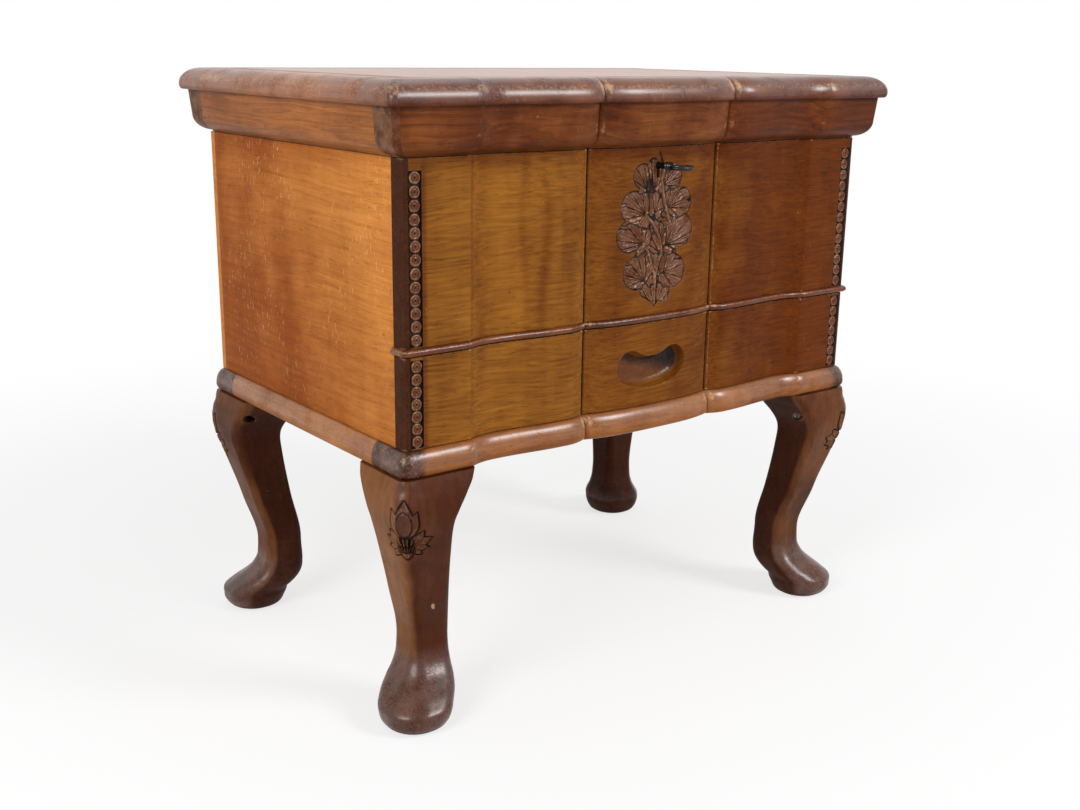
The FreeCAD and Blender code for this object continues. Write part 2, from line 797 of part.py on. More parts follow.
def leg_sections():
    """Levels of a leg: height, how far its outer faces stand out of the case's corner, its
    width and its corner rounding. The knee is set out from the top, the foot from the floor."""
    top = s.leg_height
    out = s.knee_projection
    toe = s.toe_projection
    ankle = -s.ankle_setback
    foot = s.foot_width
    r = s.leg_rounding
    middle_out = (out + ankle) / 2 - 4.0
    middle_width = (s.knee_width + s.ankle_width) / 2 - 6.3
    return [
        (0.0, toe - 8.55, foot - 17.5, 0.47),
        (3.0, toe - 3.0, foot - 6.5, 0.47),
        (8.0, toe - 0.3, foot - 1.5, 0.46),
        (14.0, toe, foot + 0.5, 0.45),
        (21.0, toe - 5.3, foot - 1.0, 0.42),
        (28.0, toe - 13.1, foot - 6.0, 0.38),
        (36.0, ankle + 5.2, s.ankle_width + 6.6, 0.33),
        (46.0, ankle + 0.8, s.ankle_width + 1.5, 0.28),
        (60.0, ankle, s.ankle_width, 0.26),
        (0.52 * top, middle_out, middle_width, 1.1 * r / middle_width),
        (top - 49.0, out - 5.6, s.knee_width - 9.5, r / s.knee_width),
        (top - 34.0, out - 1.4, s.knee_width - 5.5, r / s.knee_width),
        (top - 24.0, out, s.knee_width, r / s.knee_width),
        (top - 14.0, out - 0.6, s.knee_width + 5.8, r / s.knee_width),
        (top - 6.0, out - 2.6, s.leg_top_width - 0.8, r / s.leg_top_width),
        (top, out - 4.6, s.leg_top_width, r / s.leg_top_width),
    ]


def rounded_square(x0, y0, x1, y1, z, r):
    """A square wire with rounded corners, from one corner to the opposite one."""
    lo_x, hi_x = sorted((x0, x1))
    lo_y, hi_y = sorted((y0, y1))
    k = r * (1 - math.sqrt(0.5))
    corners = [
        ((lo_x + r, lo_y), (hi_x - r, lo_y), (hi_x - k, lo_y + k), (hi_x, lo_y + r)),
        ((hi_x, lo_y + r), (hi_x, hi_y - r), (hi_x - k, hi_y - k), (hi_x - r, hi_y)),
        ((hi_x - r, hi_y), (lo_x + r, hi_y), (lo_x + k, hi_y - k), (lo_x, hi_y - r)),
        ((lo_x, hi_y - r), (lo_x, lo_y + r), (lo_x + k, lo_y + k), (lo_x + r, lo_y)),
    ]
    edges = []
    for a, b, c, d in corners:
        edges.append(Part.makeLine(V(*a, z), V(*b, z)))
        edges.append(Part.Arc(V(*b, z), V(*c, z), V(*d, z)).toShape())
    return Part.Wire(edges)


LEGS = [("front_left", -1, -1), ("front_right", 1, -1), ("back_left", -1, 1), ("back_right", 1, 1)]


def corner_point(sx, sy, inward_x, inward_y, z):
    """A point measured inwards from one of the case's corners."""
    x = sx * (s.half_width - inward_x)
    y = s.front_y + inward_y if sy < 0 else s.back_y - inward_y
    return V(x, y, z)


def leg_loft(sx, sy):
    """A leg sawn to the same curve both ways, its corners eased, its foot rounded."""
    wires = []
    for z, out, width, share in leg_sections():
        a = corner_point(sx, sy, -out, -out, z)
        b = corner_point(sx, sy, width - out, width - out, z)
        wires.append(rounded_square(a.x, a.y, b.x, b.y, z, share * width))
    return Part.makeLoft(wires, True, False)


def leg_screw_lines(sx, sy):
    """Start on the inner face and direction of the two screws of a leg, one above the other."""
    face = s.knee_width - s.knee_projection + 1.4
    inset = s.leg_screw_inset
    top = s.leg_height - s.leg_screw_drop
    lines = []
    for z, ax, ay in ((top, inset, face), (top - s.leg_screw_step, face, inset)):
        start = corner_point(sx, sy, ax, ay, z)
        end = corner_point(sx, sy, (ax + ay) / 2, (ax + ay) / 2, z)
        lines.append((start, (end - start).normalize(), (end - start).Length))
    return lines


def build_legs():
    """Four legs, the dowels that locate them and the screws that hold them to the dowels."""
    dowels = []
    screws = []
    rooms = []
    low = s.leg_height - s.dowel_in_leg
    for name, sx, sy in LEGS:
        point = corner_point(sx, sy, s.dowel_inset, s.dowel_inset, low)
        length = s.dowel_in_leg + s.dowel_in_base
        dowels.append(Part.makeCylinder(s.dowel_diameter / 2, length, point))
        for start, along, reach in leg_screw_lines(sx, sy):
            head = start + along * (reach - s.leg_screw_length + 3.0)
            screws.append(screw(head, tuple(along), s.leg_screw_length, s.leg_screw_radius, s.leg_screw_head_radius))
            room_start = start - along * 16.0
            rooms.append(Part.makeCylinder(s.counterbore_radius, (head - room_start).Length, room_start, along))
    screws = keep(solid("leg_screws", Part.makeCompound(screws)), "leg_screws")
    dowel_blank = solid("leg_dowel_blanks", Part.makeCompound(dowels))
    keep(cut("leg_dowels", dowel_blank, screws), "leg_dowels")
    room = solid("leg_counterbores", Part.makeCompound(rooms))
    for name, sx, sy in LEGS:
        blank = solid("leg_%s_blank" % name, leg_loft(sx, sy))
        keep(cut("leg_" + name, blank, dowel_blank, room, screws), "leg_" + name)
    return dowel_blank


# Lock, key and front board


def build_lock():
    """Lock case with its back plate and screws, the bolt, the strike plate and the key."""
    bolt_y = "(lock_y + lock_wall + bolt_front_gap)"
    body = doc.addObject("PartDesign::Body", "lock_case")
    # The XZ plane's normal points to the front, so a sketch's distance from it is minus its Y.
    outline = new_sketch(body, "lock_outline", "XZ_Plane", "-lock_y")
    rectangle(outline, "-lock_width / 2", "lock_width / 2", "case_top - lock_height", "case_top")
    pad(body, outline, "lock_case_depth", back=True)
    hollow = new_sketch(body, "lock_hollow", "XZ_Plane", "-board_y")
    rectangle(hollow, "-lock_width / 2 + lock_wall", "lock_width / 2 - lock_wall",
              "case_top - lock_height + lock_wall", "case_top - lock_wall")
    doc.recompute()
    pocket(body, hollow, "lock_case_depth - lock_wall", back=True)
    keyhole = new_sketch(body, "lock_keyhole", "XZ_Plane", "-lock_y")
    circle(keyhole, "0", "key_z", "key_barrel_radius + key_hole_clearance / 2")
    doc.recompute()
    pocket(body, keyhole, "lock_wall")
    slit = new_sketch(body, "lock_slit", "XZ_Plane", "-lock_y")
    rectangle(slit, "-key_bit_thickness / 2 - key_hole_clearance / 2",
              "key_bit_thickness / 2 + key_hole_clearance / 2",
              "key_z - key_bit_length - key_hole_clearance", "key_z")
    doc.recompute()
    pocket(body, slit, "lock_wall")
    bolt_slot = new_sketch(body, "lock_bolt_slot", "XY_Plane", "case_top")
    rectangle(bolt_slot, "-bolt_width / 2 - bolt_clearance", "bolt_width / 2 + bolt_clearance",
              bolt_y + " - bolt_clearance", bolt_y + " + bolt_thickness + bolt_clearance")
    doc.recompute()
    pocket(body, bolt_slot, "lock_wall")
    keep(body, "lock_case")

    screws = []
    reach_x = s.lock_plate_width / 2 - s.lock_screw_inset
    top_z = s.case_top - s.lock_screw_inset - 1.0
    low_z = s.case_top - s.lock_plate_height + s.lock_screw_inset
    for x in (-reach_x, reach_x):
        for z in (low_z, top_z):
            screws.append(screw(V(x, s.board_y + s.lock_plate_thickness, z), (0, -1, 0),
                                s.lock_screw_length, s.lock_screw_radius, s.lock_screw_head_radius))
    screws = keep(solid("lock_screws", Part.makeCompound(screws)), "lock_screws")

    plate = block("lock_plate_blank", "lock_plate_width", "lock_plate_thickness", "lock_plate_height - 1",
                  "-lock_plate_width / 2", "board_y", "case_top - lock_plate_height")
    pin_length = "(key_bore_depth - 2 * key_end_gap)"
    pin = rod("key_drill_pin", "key_bore_radius - key_pin_clearance", pin_length,
              "0", "board_y - " + pin_length, "key_z", ALONG_Y)
    keep(cut("lock_back_plate", fuse("lock_plate_and_pin", plate, pin), screws), "lock_back_plate")

    bolt = block("lock_bolt", "bolt_width", "bolt_thickness", "case_top - bolt_drop - key_z - bolt_lift",
                 "-bolt_width / 2", bolt_y, "key_z + bolt_lift")
    keep(bolt, "lock_bolt")

    strike_y = "(%s + bolt_thickness / 2 - strike_width / 2)" % bolt_y
    strike = block("strike_blank", "strike_length", "strike_width", "strike_thickness",
                   "-strike_length / 2", strike_y, "lid_low")
    slot = block("strike_slot", "bolt_width + 2 * strike_slot_clearance", "bolt_thickness + 2 * strike_slot_clearance",
                 "bolt_throw + 2.4", "-bolt_width / 2 - strike_slot_clearance",
                 bolt_y + " - strike_slot_clearance", "lid_low")
    middle_y = s.lock_y + s.lock_wall + s.bolt_front_gap + s.bolt_thickness / 2
    strike_screws = []
    for side in (-1, 1):
        x = side * (s.strike_length / 2 - s.lock_screw_inset - 1.2)
        strike_screws.append(screw(V(x, middle_y, s.lid_low), (0, 0, 1),
                                   s.strike_screw_length, s.lock_screw_radius, s.lock_screw_head_radius))
    strike_screws = keep(solid("strike_screws", Part.makeCompound(strike_screws)), "strike_screws")
    keep(cut("strike", strike, slot, strike_screws), "lock_strike_plate")

    case_room = block("lock_case_room", "lock_width", "lock_case_depth", "lock_height",
                      "-lock_width / 2", "lock_y", "case_top - lock_height")
    hole = rod("keyhole_round", "key_barrel_radius + key_hole_clearance", "front_thickness",
               "0", "front_y - centre_rise - 1", "key_z", ALONG_Y)
    slit = block("keyhole_slit", "key_bit_thickness + 2 * key_hole_clearance", "front_thickness",
                 "key_bit_length + key_hole_clearance",
                 "-key_bit_thickness / 2 - key_hole_clearance", "front_y - centre_rise - 1",
                 "key_z - key_bit_length - key_hole_clearance")
    face = solid("upper_front_plan", front_face(s.board_y, s.floor_top))
    board = front_extrusion("upper_front_blank", face, "upper_height")
    keep(cut("upper_front", board, case_room, hole, slit, screws), "upper_front_board")
    return strike, strike_screws, slot


def build_key():
    """Barrel key: bored for the lock's pin, its bit inside the case, its bow level."""
    surface = s.front_y - s.centre_rise
    inner = s.board_y - s.key_end_gap
    bow_start = surface - s.key_reach + s.key_bow_length
    r = s.key_barrel_radius
    toward_front = V(0, -1, 0)
    barrel = Part.makeCylinder(r, inner - bow_start + 1.0, V(0, inner, s.key_z), toward_front)
    collar = Part.makeTorus(r, 1.0, V(0, bow_start + 2.6, s.key_z), toward_front)
    second = Part.makeTorus(r, 0.8, V(0, bow_start + 5.2, s.key_z), toward_front)
    bit = Part.makeBox(s.key_bit_length, s.key_bit_width, s.key_bit_thickness,
                       V(-s.key_bit_length, s.lock_y + s.lock_wall + 0.5, s.key_z - s.key_bit_thickness / 2))
    half_x = s.key_bow_width / 2 - s.key_bow_stock
    half_y = s.key_bow_length / 2 - s.key_bow_stock
    centre = V(0, surface - s.key_reach + s.key_bow_length / 2, s.key_z)
    ellipse = Part.Ellipse(centre + V(half_x, 0, 0), centre + V(0, half_y, 0), centre)
    path = Part.Wire([ellipse.toShape()])
    start = path.Edges[0].valueAt(path.Edges[0].FirstParameter)
    along = path.Edges[0].tangentAt(path.Edges[0].FirstParameter)
    ring = Part.Wire([Part.Circle(start, along, s.key_bow_stock).toShape()])
    bow = path.makePipeShell([ring], True, True)
    whole = barrel.fuse([collar, second, bit, bow])
    bore = Part.makeCylinder(s.key_bore_radius, s.key_bore_depth, V(0, inner, s.key_z), toward_front)
    keep(solid("key", whole.cut(bore)), "key")


# Drawer


def recess_outline(y):
    """Kidney outline of the finger recess: two lobes, a belly below, a dip above, all tangent."""
    r = s.recess_lobe_radius
    a = s.recess_lobe_offset
    belly = s.recess_belly
    notch = s.recess_notch
    zc = s.base_top + s.recess_rise
    big = (a * a + belly * belly - r * r) / (2 * (belly - r))
    small = (a * a + notch * notch - r * r) / (2 * (r - notch))
    low = V(0, y, zc - belly)
    high = V(0, y, zc + notch)
    big_centre = V(0, y, zc - belly + big)
    small_centre = V(0, y, zc + notch + small)
    edges = []
    ends = {}
    for side in (-1, 1):
        lobe = V(side * a, y, zc)
        down = lobe + (lobe - big_centre).normalize() * r
        up = lobe + (small_centre - lobe).normalize() * r
        edges.append(Part.Arc(down, lobe + V(side * r, 0, 0), up).toShape())
        ends[side] = (down, up)
    edges.append(Part.Arc(ends[-1][0], low, ends[1][0]).toShape())
    edges.append(Part.Arc(ends[-1][1], high, ends[1][1]).toShape())
    return Part.Wire(Part.__sortEdges__(edges))


def build_drawer():
    """A wavy front with a finger recess, two sides, a back and a bottom in grooves."""
    bottom = block(
        "drawer_bottom",
        "2 * (drawer_half_width - drawer_side_thickness + drawer_groove)",
        "drawer_back_y - drawer_front_back_y - drawer_side_thickness + 2 * drawer_groove",
        "drawer_bottom_thickness",
        "-(drawer_half_width - drawer_side_thickness + drawer_groove)",
        "drawer_front_back_y - drawer_groove",
        "drawer_low + drawer_bottom_rise",
    )
    keep(bottom, "drawer_bottom")
    for side in (-1, 1):
        name = "drawer_side_" + side_name(side)
        x = "-drawer_half_width" if side < 0 else "drawer_half_width - drawer_side_thickness"
        board = block(name + "_blank", "drawer_side_thickness", "drawer_back_y - drawer_front_back_y",
                      "drawer_side_height", x, "drawer_front_back_y", "drawer_low")
        keep(cut(name, board, bottom), name)
    back = block("drawer_back_blank", "2 * (drawer_half_width - drawer_side_thickness)",
                 "drawer_side_thickness", "drawer_side_height",
                 "-(drawer_half_width - drawer_side_thickness)", "drawer_back_y - drawer_side_thickness",
                 "drawer_low")
    keep(cut("drawer_back", back, bottom), "drawer_back")

    face = solid("drawer_front_plan", front_face(s.drawer_front_back_y, s.drawer_low))
    board = front_extrusion("drawer_front_blank", face, "bay_height - drawer_gap - drawer_top_gap")
    front = s.front_y - s.centre_rise
    outline = Part.Face(recess_outline(front - 5.0))
    scoop = outline.extrude(V(0, 5.0 + s.recess_depth, 0))
    bottom_edges = [e for e in scoop.Edges if all(abs(v.Y - front - s.recess_depth) < 1e-6 for v in e.Vertexes)]
    scoop = solid("finger_recess", scoop.makeFillet(min(s.recess_round, 0.8 * s.recess_depth), bottom_edges))
    keep(cut("drawer_front", board, scoop, bottom), "drawer_front")


# Tray


def build_tray():
    """A lift-out tray on two ledges: four walls, a bottom, a handle board and four dividers."""
    for side in (-1, 1):
        name = "tray_ledge_" + side_name(side)
        x = "-inner_half_width" if side < 0 else "inner_half_width - ledge_size"
        ledge = block(name, "ledge_size", "inner_back_y - board_y", "ledge_size",
                      x, "board_y", "ledge_top - ledge_size")
        keep(ledge, name)

    inner_x = "(tray_half_width - tray_wall)"
    bottom = block("tray_bottom", "2 * (%s + tray_groove)" % inner_x,
                   "tray_back_y - tray_front_y - 2 * tray_wall + 2 * tray_groove", "tray_bottom_thickness",
                   "-%s - tray_groove" % inner_x, "tray_front_y + tray_wall - tray_groove", "tray_low + tray_groove")
    keep(bottom, "tray_bottom")
    walls = {
        "tray_front": ("2 * tray_half_width", "tray_wall", "-tray_half_width", "tray_front_y"),
        "tray_back": ("2 * tray_half_width", "tray_wall", "-tray_half_width", "tray_back_y - tray_wall"),
        "tray_left": ("tray_wall", "tray_back_y - tray_front_y - 2 * tray_wall",
                      "-tray_half_width", "tray_front_y + tray_wall"),
        "tray_right": ("tray_wall", "tray_back_y - tray_front_y - 2 * tray_wall",
                       "tray_half_width - tray_wall", "tray_front_y + tray_wall"),
    }
    for name, (length, width, x, y) in walls.items():
        wall = block(name + "_blank", length, width, "tray_height", x, y, "tray_low")
        keep(cut(name, wall, bottom), name)

    seat = "(tray_low + tray_groove + tray_bottom_thickness)"
    body = doc.addObject("PartDesign::Body", "tray_handle_board")
    outline = new_sketch(body, "handle_outline", "XZ_Plane", "-(handle_y - tray_divider / 2)")
    rectangle(outline, "-" + inner_x, inner_x, seat, "tray_top")
    pad(body, outline, "tray_divider", back=True)
    grip = new_sketch(body, "handle_grip", "XZ_Plane", "-(handle_y - tray_divider / 2)")
    rectangle(grip, "-handle_width / 2", "handle_width / 2", "tray_top - 8", "tray_low + handle_height")
    doc.recompute()
    pad(body, grip, "tray_divider", back=True)
    hole = new_sketch(body, "handle_hole", "XZ_Plane", "-(handle_y - tray_divider / 2)")
    top = "tray_low + handle_height - handle_hole_drop"
    rectangle(hole, "-(handle_hole_width - handle_hole_height) / 2", "(handle_hole_width - handle_hole_height) / 2",
              top + " - handle_hole_height", top)
    doc.recompute()
    pocket(body, hole, "tray_divider")
    for word, sign in (("left", "-"), ("right", "")):
        end = new_sketch(body, "handle_hole_" + word, "XZ_Plane", "-(handle_y - tray_divider / 2)")
        circle(end, "%s(handle_hole_width - handle_hole_height) / 2" % sign,
               top + " - handle_hole_height / 2", "handle_hole_height / 2")
        doc.recompute()
        pocket(body, end, "tray_divider")
    doc.recompute()
    last = body.Tip
    corners = []
    for number, edge in enumerate(last.Shape.Edges, start=1):
        a, b = edge.Vertexes[0].Point, edge.Vertexes[-1].Point
        across = abs(a.y - b.y) > 0.5 * s.tray_divider
        at_top = abs(a.z - (s.tray_low + s.handle_height)) < 1e-6
        if across and at_top and abs(abs(a.x) - s.handle_width / 2) < 1e-6:
            corners.append("Edge%d" % number)
    rounding = body.newObject("PartDesign::Fillet", "handle_rounding")
    rounding.Base = (last, corners)
    bind(rounding, "Radius", "handle_round")
    keep(body, "tray_handle_board")

    rows = {
        "front": ("tray_front_y + tray_wall", "handle_y - tray_divider / 2 - tray_front_y - tray_wall"),
        "back": ("handle_y + tray_divider / 2", "tray_back_y - tray_wall - handle_y - tray_divider / 2"),
    }
    number = 1
    for row, (y, width) in rows.items():
        for side in ("-", ""):
            x = "%s(tray_cell / 2 + tray_divider / 2) - tray_divider / 2" % side
            divider = block("tray_divider_%d" % number, "tray_divider", width,
                            "tray_top - 2 - %s" % seat, x, y, seat)
            keep(divider, "tray_divider_%d" % number)
            number += 1


def export():
    """Check every object and write each sub-part's own file."""
    doc.recompute()
    for obj in doc.Objects:
        if "Invalid" in obj.State or "Error" in obj.State:
            raise RuntimeError("%s is in state %s" % (obj.Name, obj.State))
    for obj in pieces:
        if obj.Shape.isNull() or not obj.Shape.isValid() or not obj.Shape.Solids:
            raise RuntimeError("%s has no sound solid" % obj.Label)
    os.makedirs("parts", exist_ok=True)
    for obj in pieces:
        obj.Shape.exportStep("parts/%s.step" % obj.Label)
        print("%-26s %2d solid %10.1f mm3" % (obj.Label, len(obj.Shape.Solids), obj.Shape.Volume))
    print(len(pieces), "sub-parts")


def main():
    leaves, case_screws, lid_screws, barrel_room = build_hinges()
    build_lid()
    strike, strike_screws, slot = build_lock()
    build_cornice(strike, strike_screws, slot, leaves["lid"], lid_screws, barrel_room)
    build_case(leaves["case"], case_screws)
    dowels = build_legs()
    build_base(dowels)
    build_drawer()
    build_tray()
    build_key()
    export()


main()
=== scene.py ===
import logging
import math
from dataclasses import dataclass, field
from enum import Enum
from functools import lru_cache
from typing import Callable, Optional, Sequence, Union

import bmesh
import bpy
import numpy as np
from mathutils import Matrix, Vector


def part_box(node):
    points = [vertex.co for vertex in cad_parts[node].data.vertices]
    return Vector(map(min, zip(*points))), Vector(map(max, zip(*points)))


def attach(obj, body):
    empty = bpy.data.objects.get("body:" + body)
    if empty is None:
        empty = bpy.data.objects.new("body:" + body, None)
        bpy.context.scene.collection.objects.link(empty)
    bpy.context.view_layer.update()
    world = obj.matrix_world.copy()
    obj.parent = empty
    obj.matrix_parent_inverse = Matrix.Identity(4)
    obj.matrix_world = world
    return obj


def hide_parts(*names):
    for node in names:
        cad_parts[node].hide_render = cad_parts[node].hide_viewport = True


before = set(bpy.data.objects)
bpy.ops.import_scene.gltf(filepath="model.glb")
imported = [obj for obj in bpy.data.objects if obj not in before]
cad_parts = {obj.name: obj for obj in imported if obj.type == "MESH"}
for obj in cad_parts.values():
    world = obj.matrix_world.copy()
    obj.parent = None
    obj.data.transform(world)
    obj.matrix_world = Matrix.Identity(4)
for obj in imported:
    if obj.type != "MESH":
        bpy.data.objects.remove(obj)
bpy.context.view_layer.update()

log = logging.getLogger("sewing_box")

Array = np.ndarray
Triple = tuple[float, float, float]
Colour = tuple[int, int, int]
Socket = bpy.types.NodeSocket
MM = 0.001


class Side(Enum):
    """A side of the box: its value is the sign of X there."""

    LEFT = -1
    RIGHT = 1


class Grain(Enum):
    """The way a board's grain runs: its value turns that way onto the pattern's X axis."""

    ACROSS = (0.0, 0.0, 0.0)
    DEEP = (0.0, 0.0, math.pi / 2)
    UPRIGHT = (0.0, math.pi / 2, 0.0)


class Body(Enum):
    """The moving groups that new pieces ride on."""

    CASE = "case"
    LID = "lid"
    DRAWER = "drawer"
    KEY = "key"


@dataclass(frozen=True)
class Sizes:
    """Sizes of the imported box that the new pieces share, in millimetres."""

    half_width: float = 210.0
    front: float = -131.65
    back: float = 145.35
    base_low: float = 184.0
    base_top: float = 202.0
    floor_low: float = 264.4
    floor_top: float = 269.4
    case_top: float = 388.3
    lid_low: float = 388.7
    rim_low: float = 419.6
    lid_top: float = 435.5
    board: float = 13.0
    back_board: float = 12.0
    side_board: float = 11.0
    key_z: float = 375.6


SIZES = Sizes()


# Meshes


# Mark names: the first three carry painted highlight or painted shade as well as rubbing, dirt and stain.
MARKS = ("wear", "grime", "stain", "end", "gloss")


@dataclass(frozen=True)
class Marks:
    """What a finish reads at each vertex, 0 to 1, with painted highlights in the rubbing and painted shade in
    the dirt and stain.
    """

    wear: Array
    grime: Array
    stain: Array
    end: Array
    gloss: Array

    def bordered(self, below: int, above: int) -> "Marks":
        """The marks with rows of none added before the first row and after the last."""
        return Marks(*(np.pad(getattr(self, word), ((below, above), (0, 0))) for word in MARKS))

    def most(self, other: "Marks") -> "Marks":
        """The stronger of two sets of marks at each point."""
        return Marks(*(np.maximum(getattr(self, word), getattr(other, word)) for word in MARKS))


def smoothstep(low: float, high: float, x: Array) -> Array:
    """Rise from 0 at low to 1 at high along a cubic with level ends."""
    t = np.clip((x - low) / (high - low), 0.0, 1.0)
    return t * t * (3.0 - 2.0 * t)


def peak(x: Array, width: float) -> Array:
    """A soft peak of 1 at 0 that falls off as exp(-(x / width) ** 2)."""
    return np.exp(-(x / width) ** 2)


def spread(*stops: tuple[float, float]) -> Array:
    """Sample positions between stops, each stop with the step used after it.

    Args:
        stops: pairs of position and step; the last pair's step isn't used.

    Returns:
        Sorted positions that include every stop.
    """
    parts = []
    for (a, step), (b, _) in zip(stops[:-1], stops[1:]):
        count = max(1, int(math.ceil((b - a) / step - 1e-9)))
        parts.append(np.linspace(a, b, count, endpoint=False))
    return np.concatenate([*parts, [stops[-1][0]]])


def grid_faces(rows: int, columns: int, wrap: bool = False) -> Array:
    """Quads of a grid whose vertices run along its columns first.

    Args:
        rows: number of vertex rows.
        columns: number of vertex columns.
        wrap: whether the last column joins the first.

    Returns:
        Array of faces, four vertex indices each.
    """
    i, j = np.meshgrid(np.arange(rows - 1), np.arange(columns if wrap else columns - 1), indexing="ij")
    low, high, k = i * columns, (i + 1) * columns, (j + 1) % columns
    return np.stack([low + j, low + k, high + k, high + j], -1).reshape(-1, 4)


def capped(rows: int, columns: int) -> list[Sequence[int]]:
    """Faces of a tube of rings: its wall, and one face over the first and over the last ring."""
    return [*grid_faces(rows, columns, True), range(columns), range((rows - 1) * columns, rows * columns)]


def make_piece(
    name: str,
    points: Array,
    faces: Sequence[Sequence[int]],
    body: Body,
    material: bpy.types.Material,
    marks: Optional[Marks] = None,
    replaces: Sequence[str] = (),
    sharp: float = 40.0,
) -> bpy.types.Object:
    """Put points in millimetres into a new mesh object and parent it to its body's empty.

    Args:
        name: the piece's name.
        points: vertices in millimetres, in an array whose last axis is x, y, z.
        faces: vertex indices of each face.
        body: the moving group that it rides on.
        material: the finish.
        marks: numbers per vertex that the finish reads.
        replaces: CAD nodes that it stands for.
        sharp: angle in degrees past which an edge stays sharp.

    Returns:
        The new object.
    """
    mesh = bpy.data.meshes.new(name)
    mesh.from_pydata((points.reshape(-1, 3) * MM).tolist(), [], [list(map(int, f)) for f in faces])
    mesh.validate()
    for word in MARKS if marks else ():
        layer = mesh.attributes.new(word, "FLOAT", "POINT")
        layer.data.foreach_set("value", np.ascontiguousarray(getattr(marks, word).ravel(), np.float32))
    box = bmesh.new()
    box.from_mesh(mesh)
    bmesh.ops.recalc_face_normals(box, faces=box.faces)
    box.to_mesh(mesh)
    box.free()
    mesh.shade_smooth()
    mesh.set_sharp_from_angle(angle=math.radians(sharp))
    mesh.materials.append(material)
    obj = bpy.data.objects.new(name, mesh)
    bpy.context.scene.collection.objects.link(obj)
    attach(obj, body.value)
    if replaces:
        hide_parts(*replaces)
    log.info("%s: %d faces on %s", name, len(mesh.polygons), body.value)
    return obj


# Finishes


def linear(red: int, green: int, blue: int) -> tuple[float, float, float, float]:
    """A colour given as it looks on a screen, 0 to 255, as the numbers that Blender mixes."""
    parts = [c / 255 for c in (red, green, blue)]
    return (*[c / 12.92 if c <= 0.04045 else ((c + 0.055) / 1.055) ** 2.4 for c in parts], 1.0)


class Nodes:
    """A short way to add and join nodes in one node tree."""

    def __init__(self, tree: bpy.types.NodeTree) -> None:
        """Start on a tree."""
        self.tree = tree

    def add(self, kind: str, inputs: Optional[dict] = None, **settings: object) -> bpy.types.Node:
        """Add a node, set its properties and set or join its inputs.

        Args:
            kind: the node's type.
            inputs: socket name or number to a value or another node's output.
            settings: the node's own properties.

        Returns:
            The new node.
        """
        node = self.tree.nodes.new(kind)
        for word, value in settings.items():
            setattr(node, word, value)
        for word, value in (inputs or {}).items():
            self.put(node.inputs[word], value)
        return node

    def put(self, socket: Socket, value: object) -> None:
        """Join an input to another node's output, or give it a value.

        Args:
            socket: the input.
            value: the output, number, vector or colour.
        """
        if isinstance(value, Socket):
            self.tree.links.new(value, socket)
        else:
            socket.default_value = value

    def math(self, operation: str, a: object, b: object, clamp: bool = False) -> Socket:
        """One arithmetic step on numbers or sockets."""
        return self.add("ShaderNodeMath", {0: a, 1: b}, operation=operation, use_clamp=clamp).outputs[0]

    def plus(self, a: object, b: object, clamp: bool = False) -> Socket:
        """The sum of two numbers."""
        return self.math("ADD", a, b, clamp)

    def minus(self, a: object, b: object) -> Socket:
        """The first number less the second."""
        return self.math("SUBTRACT", a, b)

    def times(self, a: object, b: object, clamp: bool = False) -> Socket:
        """The product of two numbers."""
        return self.math("MULTIPLY", a, b, clamp)

    def about(self, value: object, middle: float, strength: object) -> Socket:
        """How far a number lies from a middle, times a strength."""
        return self.times(self.minus(value, middle), strength)

    def vector(self, operation: str, a: object, b: object) -> Socket:
        """One step on two vectors, or on a vector and a number where it is scaled."""
        inputs = {0: a, "Scale" if operation == "SCALE" else 1: b}
        return self.add("ShaderNodeVectorMath", inputs, operation=operation).outputs[0]

    def noise(self, vector: object, scale: float, detail: float = 3.0, rough: float = 0.55) -> Socket:
        """Smooth noise between 0 and 1 at a number of bumps per unit."""
        inputs = {"Vector": vector, "Scale": scale, "Detail": detail, "Roughness": rough}
        return self.add("ShaderNodeTexNoise", inputs, noise_dimensions="3D").outputs["Fac"]

    def long_noise(self, vector: object, scale: Triple, detail: float = 3.0, rough: float = 0.55) -> Socket:
        """Noise with its own number of bumps per unit along each axis."""
        return self.noise(self.vector("MULTIPLY", vector, scale), 1.0, detail, rough)

    def mark(self, word: str) -> Socket:
        """A number that the mesh keeps at each vertex."""
        return self.add("ShaderNodeAttribute", attribute_name=word).outputs["Fac"]

    def place(self) -> Socket:
        """The point's place on the box."""
        return self.add("ShaderNodeTexCoord").outputs["Object"]

    def group(self, name: str, inputs: dict) -> bpy.types.Node:
        """A group of nodes with its inputs set or joined."""
        return self.add("ShaderNodeGroup", inputs, node_tree=bpy.data.node_groups[name])

    def ramp(self, value: object, low: float, high: float) -> Socket:
        """A number mapped from low..high to 0..1 with soft ends."""
        inputs = {"Value": value, "From Min": low, "From Max": high}
        return self.add("ShaderNodeMapRange", inputs, interpolation_type="SMOOTHSTEP").outputs["Result"]

    def mix(self, amount: object, a: object, b: object, blend: str = "MIX") -> Socket:
        """Two colours mixed by an amount."""
        settings = {"data_type": "RGBA", "blend_type": blend, "clamp_factor": True}
        return self.add("ShaderNodeMix", {0: amount, 6: a, 7: b}, **settings).outputs[2]

    def seen(self) -> Socket:
        """1 for what the camera sees straight, in a reflection or through glass.

        Returns:
            The number's socket.
        """
        ray = self.add("ShaderNodeLightPath").outputs
        seen = self.math("MAXIMUM", ray["Is Camera Ray"], ray["Is Glossy Ray"])
        return self.math("MAXIMUM", seen, ray["Is Transmission Ray"])


SOCKETS = {float: "NodeSocketFloat", tuple: "NodeSocketColor", type(None): "NodeSocketVector"}


